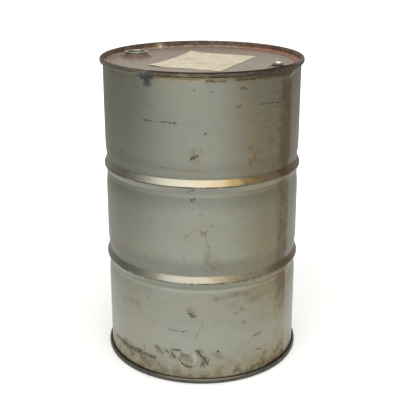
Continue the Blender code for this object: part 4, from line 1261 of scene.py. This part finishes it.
def addWorld():
    # White to the camera. To the drum: white paper behind it, and a dim room at its sides.
    world = bpy.data.worlds.new("studio")
    world.use_nodes = True
    bpy.context.scene.world = world
    tree = world.node_tree
    make = partial(addNode, tree)
    direction = make("TexCoord", output=0)
    axes = make("SeparateXYZ", {0: direction}).node.outputs
    sides = make("MapRange", {0: axes[2], 1: studio["sideRise"][0], 2: studio["sideRise"][1],
                              3: studio["sideLevel"][0], 4: studio["sideLevel"][1]})
    right = make("MapRange SMOOTHSTEP", {0: axes[0], 1: studio["rightEdge"][0], 2: studio["rightEdge"][1], 3: 1.0,
                                         4: studio["rightLevel"]})
    sides = make("Math MULTIPLY", {0: sides, 1: right})
    paperLight = make("MapRange SMOOTHSTEP", {0: axes[1], 1: studio["backdropEdge"][0],
                                              2: studio["backdropEdge"][1], 3: sides, 4: studio["backdropLevel"]})
    seen = make("LightPath", output=0)
    level = make("Mix FLOAT", {0: seen, 2: paperLight, 3: 1.0}, 0)
    background = tree.nodes["Background"]
    background.inputs["Color"].default_value = (1, 1, 1, 1)
    tree.links.new(level, background.inputs["Strength"])


def addSoftboxes():
    # Rectangular lamps, each turned so that its axis meets its target
    for name, (place, target, size, power) in studio["lamps"].items():
        lamp = bpy.data.lights.new(name, "AREA")
        lamp.shape = "RECTANGLE"
        lamp.size, lamp.size_y = size
        lamp.energy = power
        rig = bpy.data.objects.new(name, lamp)
        rig.location = place
        rig.rotation_euler = (Vector(target) - Vector(place)).to_track_quat("-Z", "Y").to_euler()
        bpy.context.scene.collection.objects.link(rig)


def addFloor():
    # Pale floor that keeps the drum's shadow; a little light of its own lifts it to white for the camera.
    made, shader, make = newMaterial("paleFloor")
    tree = made.node_tree
    shader.inputs["Roughness"].default_value = 0.9
    shader.inputs["Specular IOR Level"].default_value = 0.0
    path = make("LightPath").node.outputs
    place = make("TexCoord", output=3)
    away = make("VectorMath LENGTH", {0: place}, 1)
    apart = make("VectorMath DISTANCE", {0: place, 1: studio["paperMiddle"]}, 1)
    farther = make("VectorMath DISTANCE", {0: place, 1: studio["fadeMiddle"]}, 1)
    grey = make("MapRange SMOOTHSTEP", {0: farther, 1: studio["floorFade"][0], 2: studio["floorFade"][1]})
    tone = make("Mix RGBA", {0: grey, 6: studio["floorColour"], 7: studio["farColour"]}, 2)
    tree.links.new(tone, shader.inputs["Base Color"])
    near, far = studio["floorReach"]
    level = make("MapRange SMOOTHSTEP", {0: away, 1: near, 2: far, 3: studio["floorLift"][0],
                                         4: studio["floorLift"][1]})
    onPaper = make("MapRange", {0: apart, 1: studio["paperEdge"][0], 2: studio["paperEdge"][1], 3: 1.0, 4: 0.0})
    mirrored = make("Math MULTIPLY", {0: path[3], 1: onPaper})
    seen = make("Math MAXIMUM", {0: path[0], 1: mirrored})
    lift = make("Math MULTIPLY", {0: seen, 1: level})
    glow = make("Emission", {0: (1, 1, 1, 1), 1: lift})
    both = make("AddShader", {0: shader.outputs[0], 1: glow})
    tree.links.new(both, tree.nodes["Material Output"].inputs["Surface"])
    size = studio["floorSize"] / 2
    mesh = bpy.data.meshes.new("floor")
    mesh.from_pydata([(-size, -size, 0), (size, -size, 0), (size, size, 0), (-size, size, 0)], [], [(0, 1, 2, 3)])
    mesh.materials.append(made)
    floor = bpy.data.objects.new("floor", mesh)
    bpy.context.scene.collection.objects.link(floor)


addCamera()
addWorld()
addSoftboxes()
addFloor()
bpy.context.scene.view_settings.view_transform = "Standard"
print("stage set")
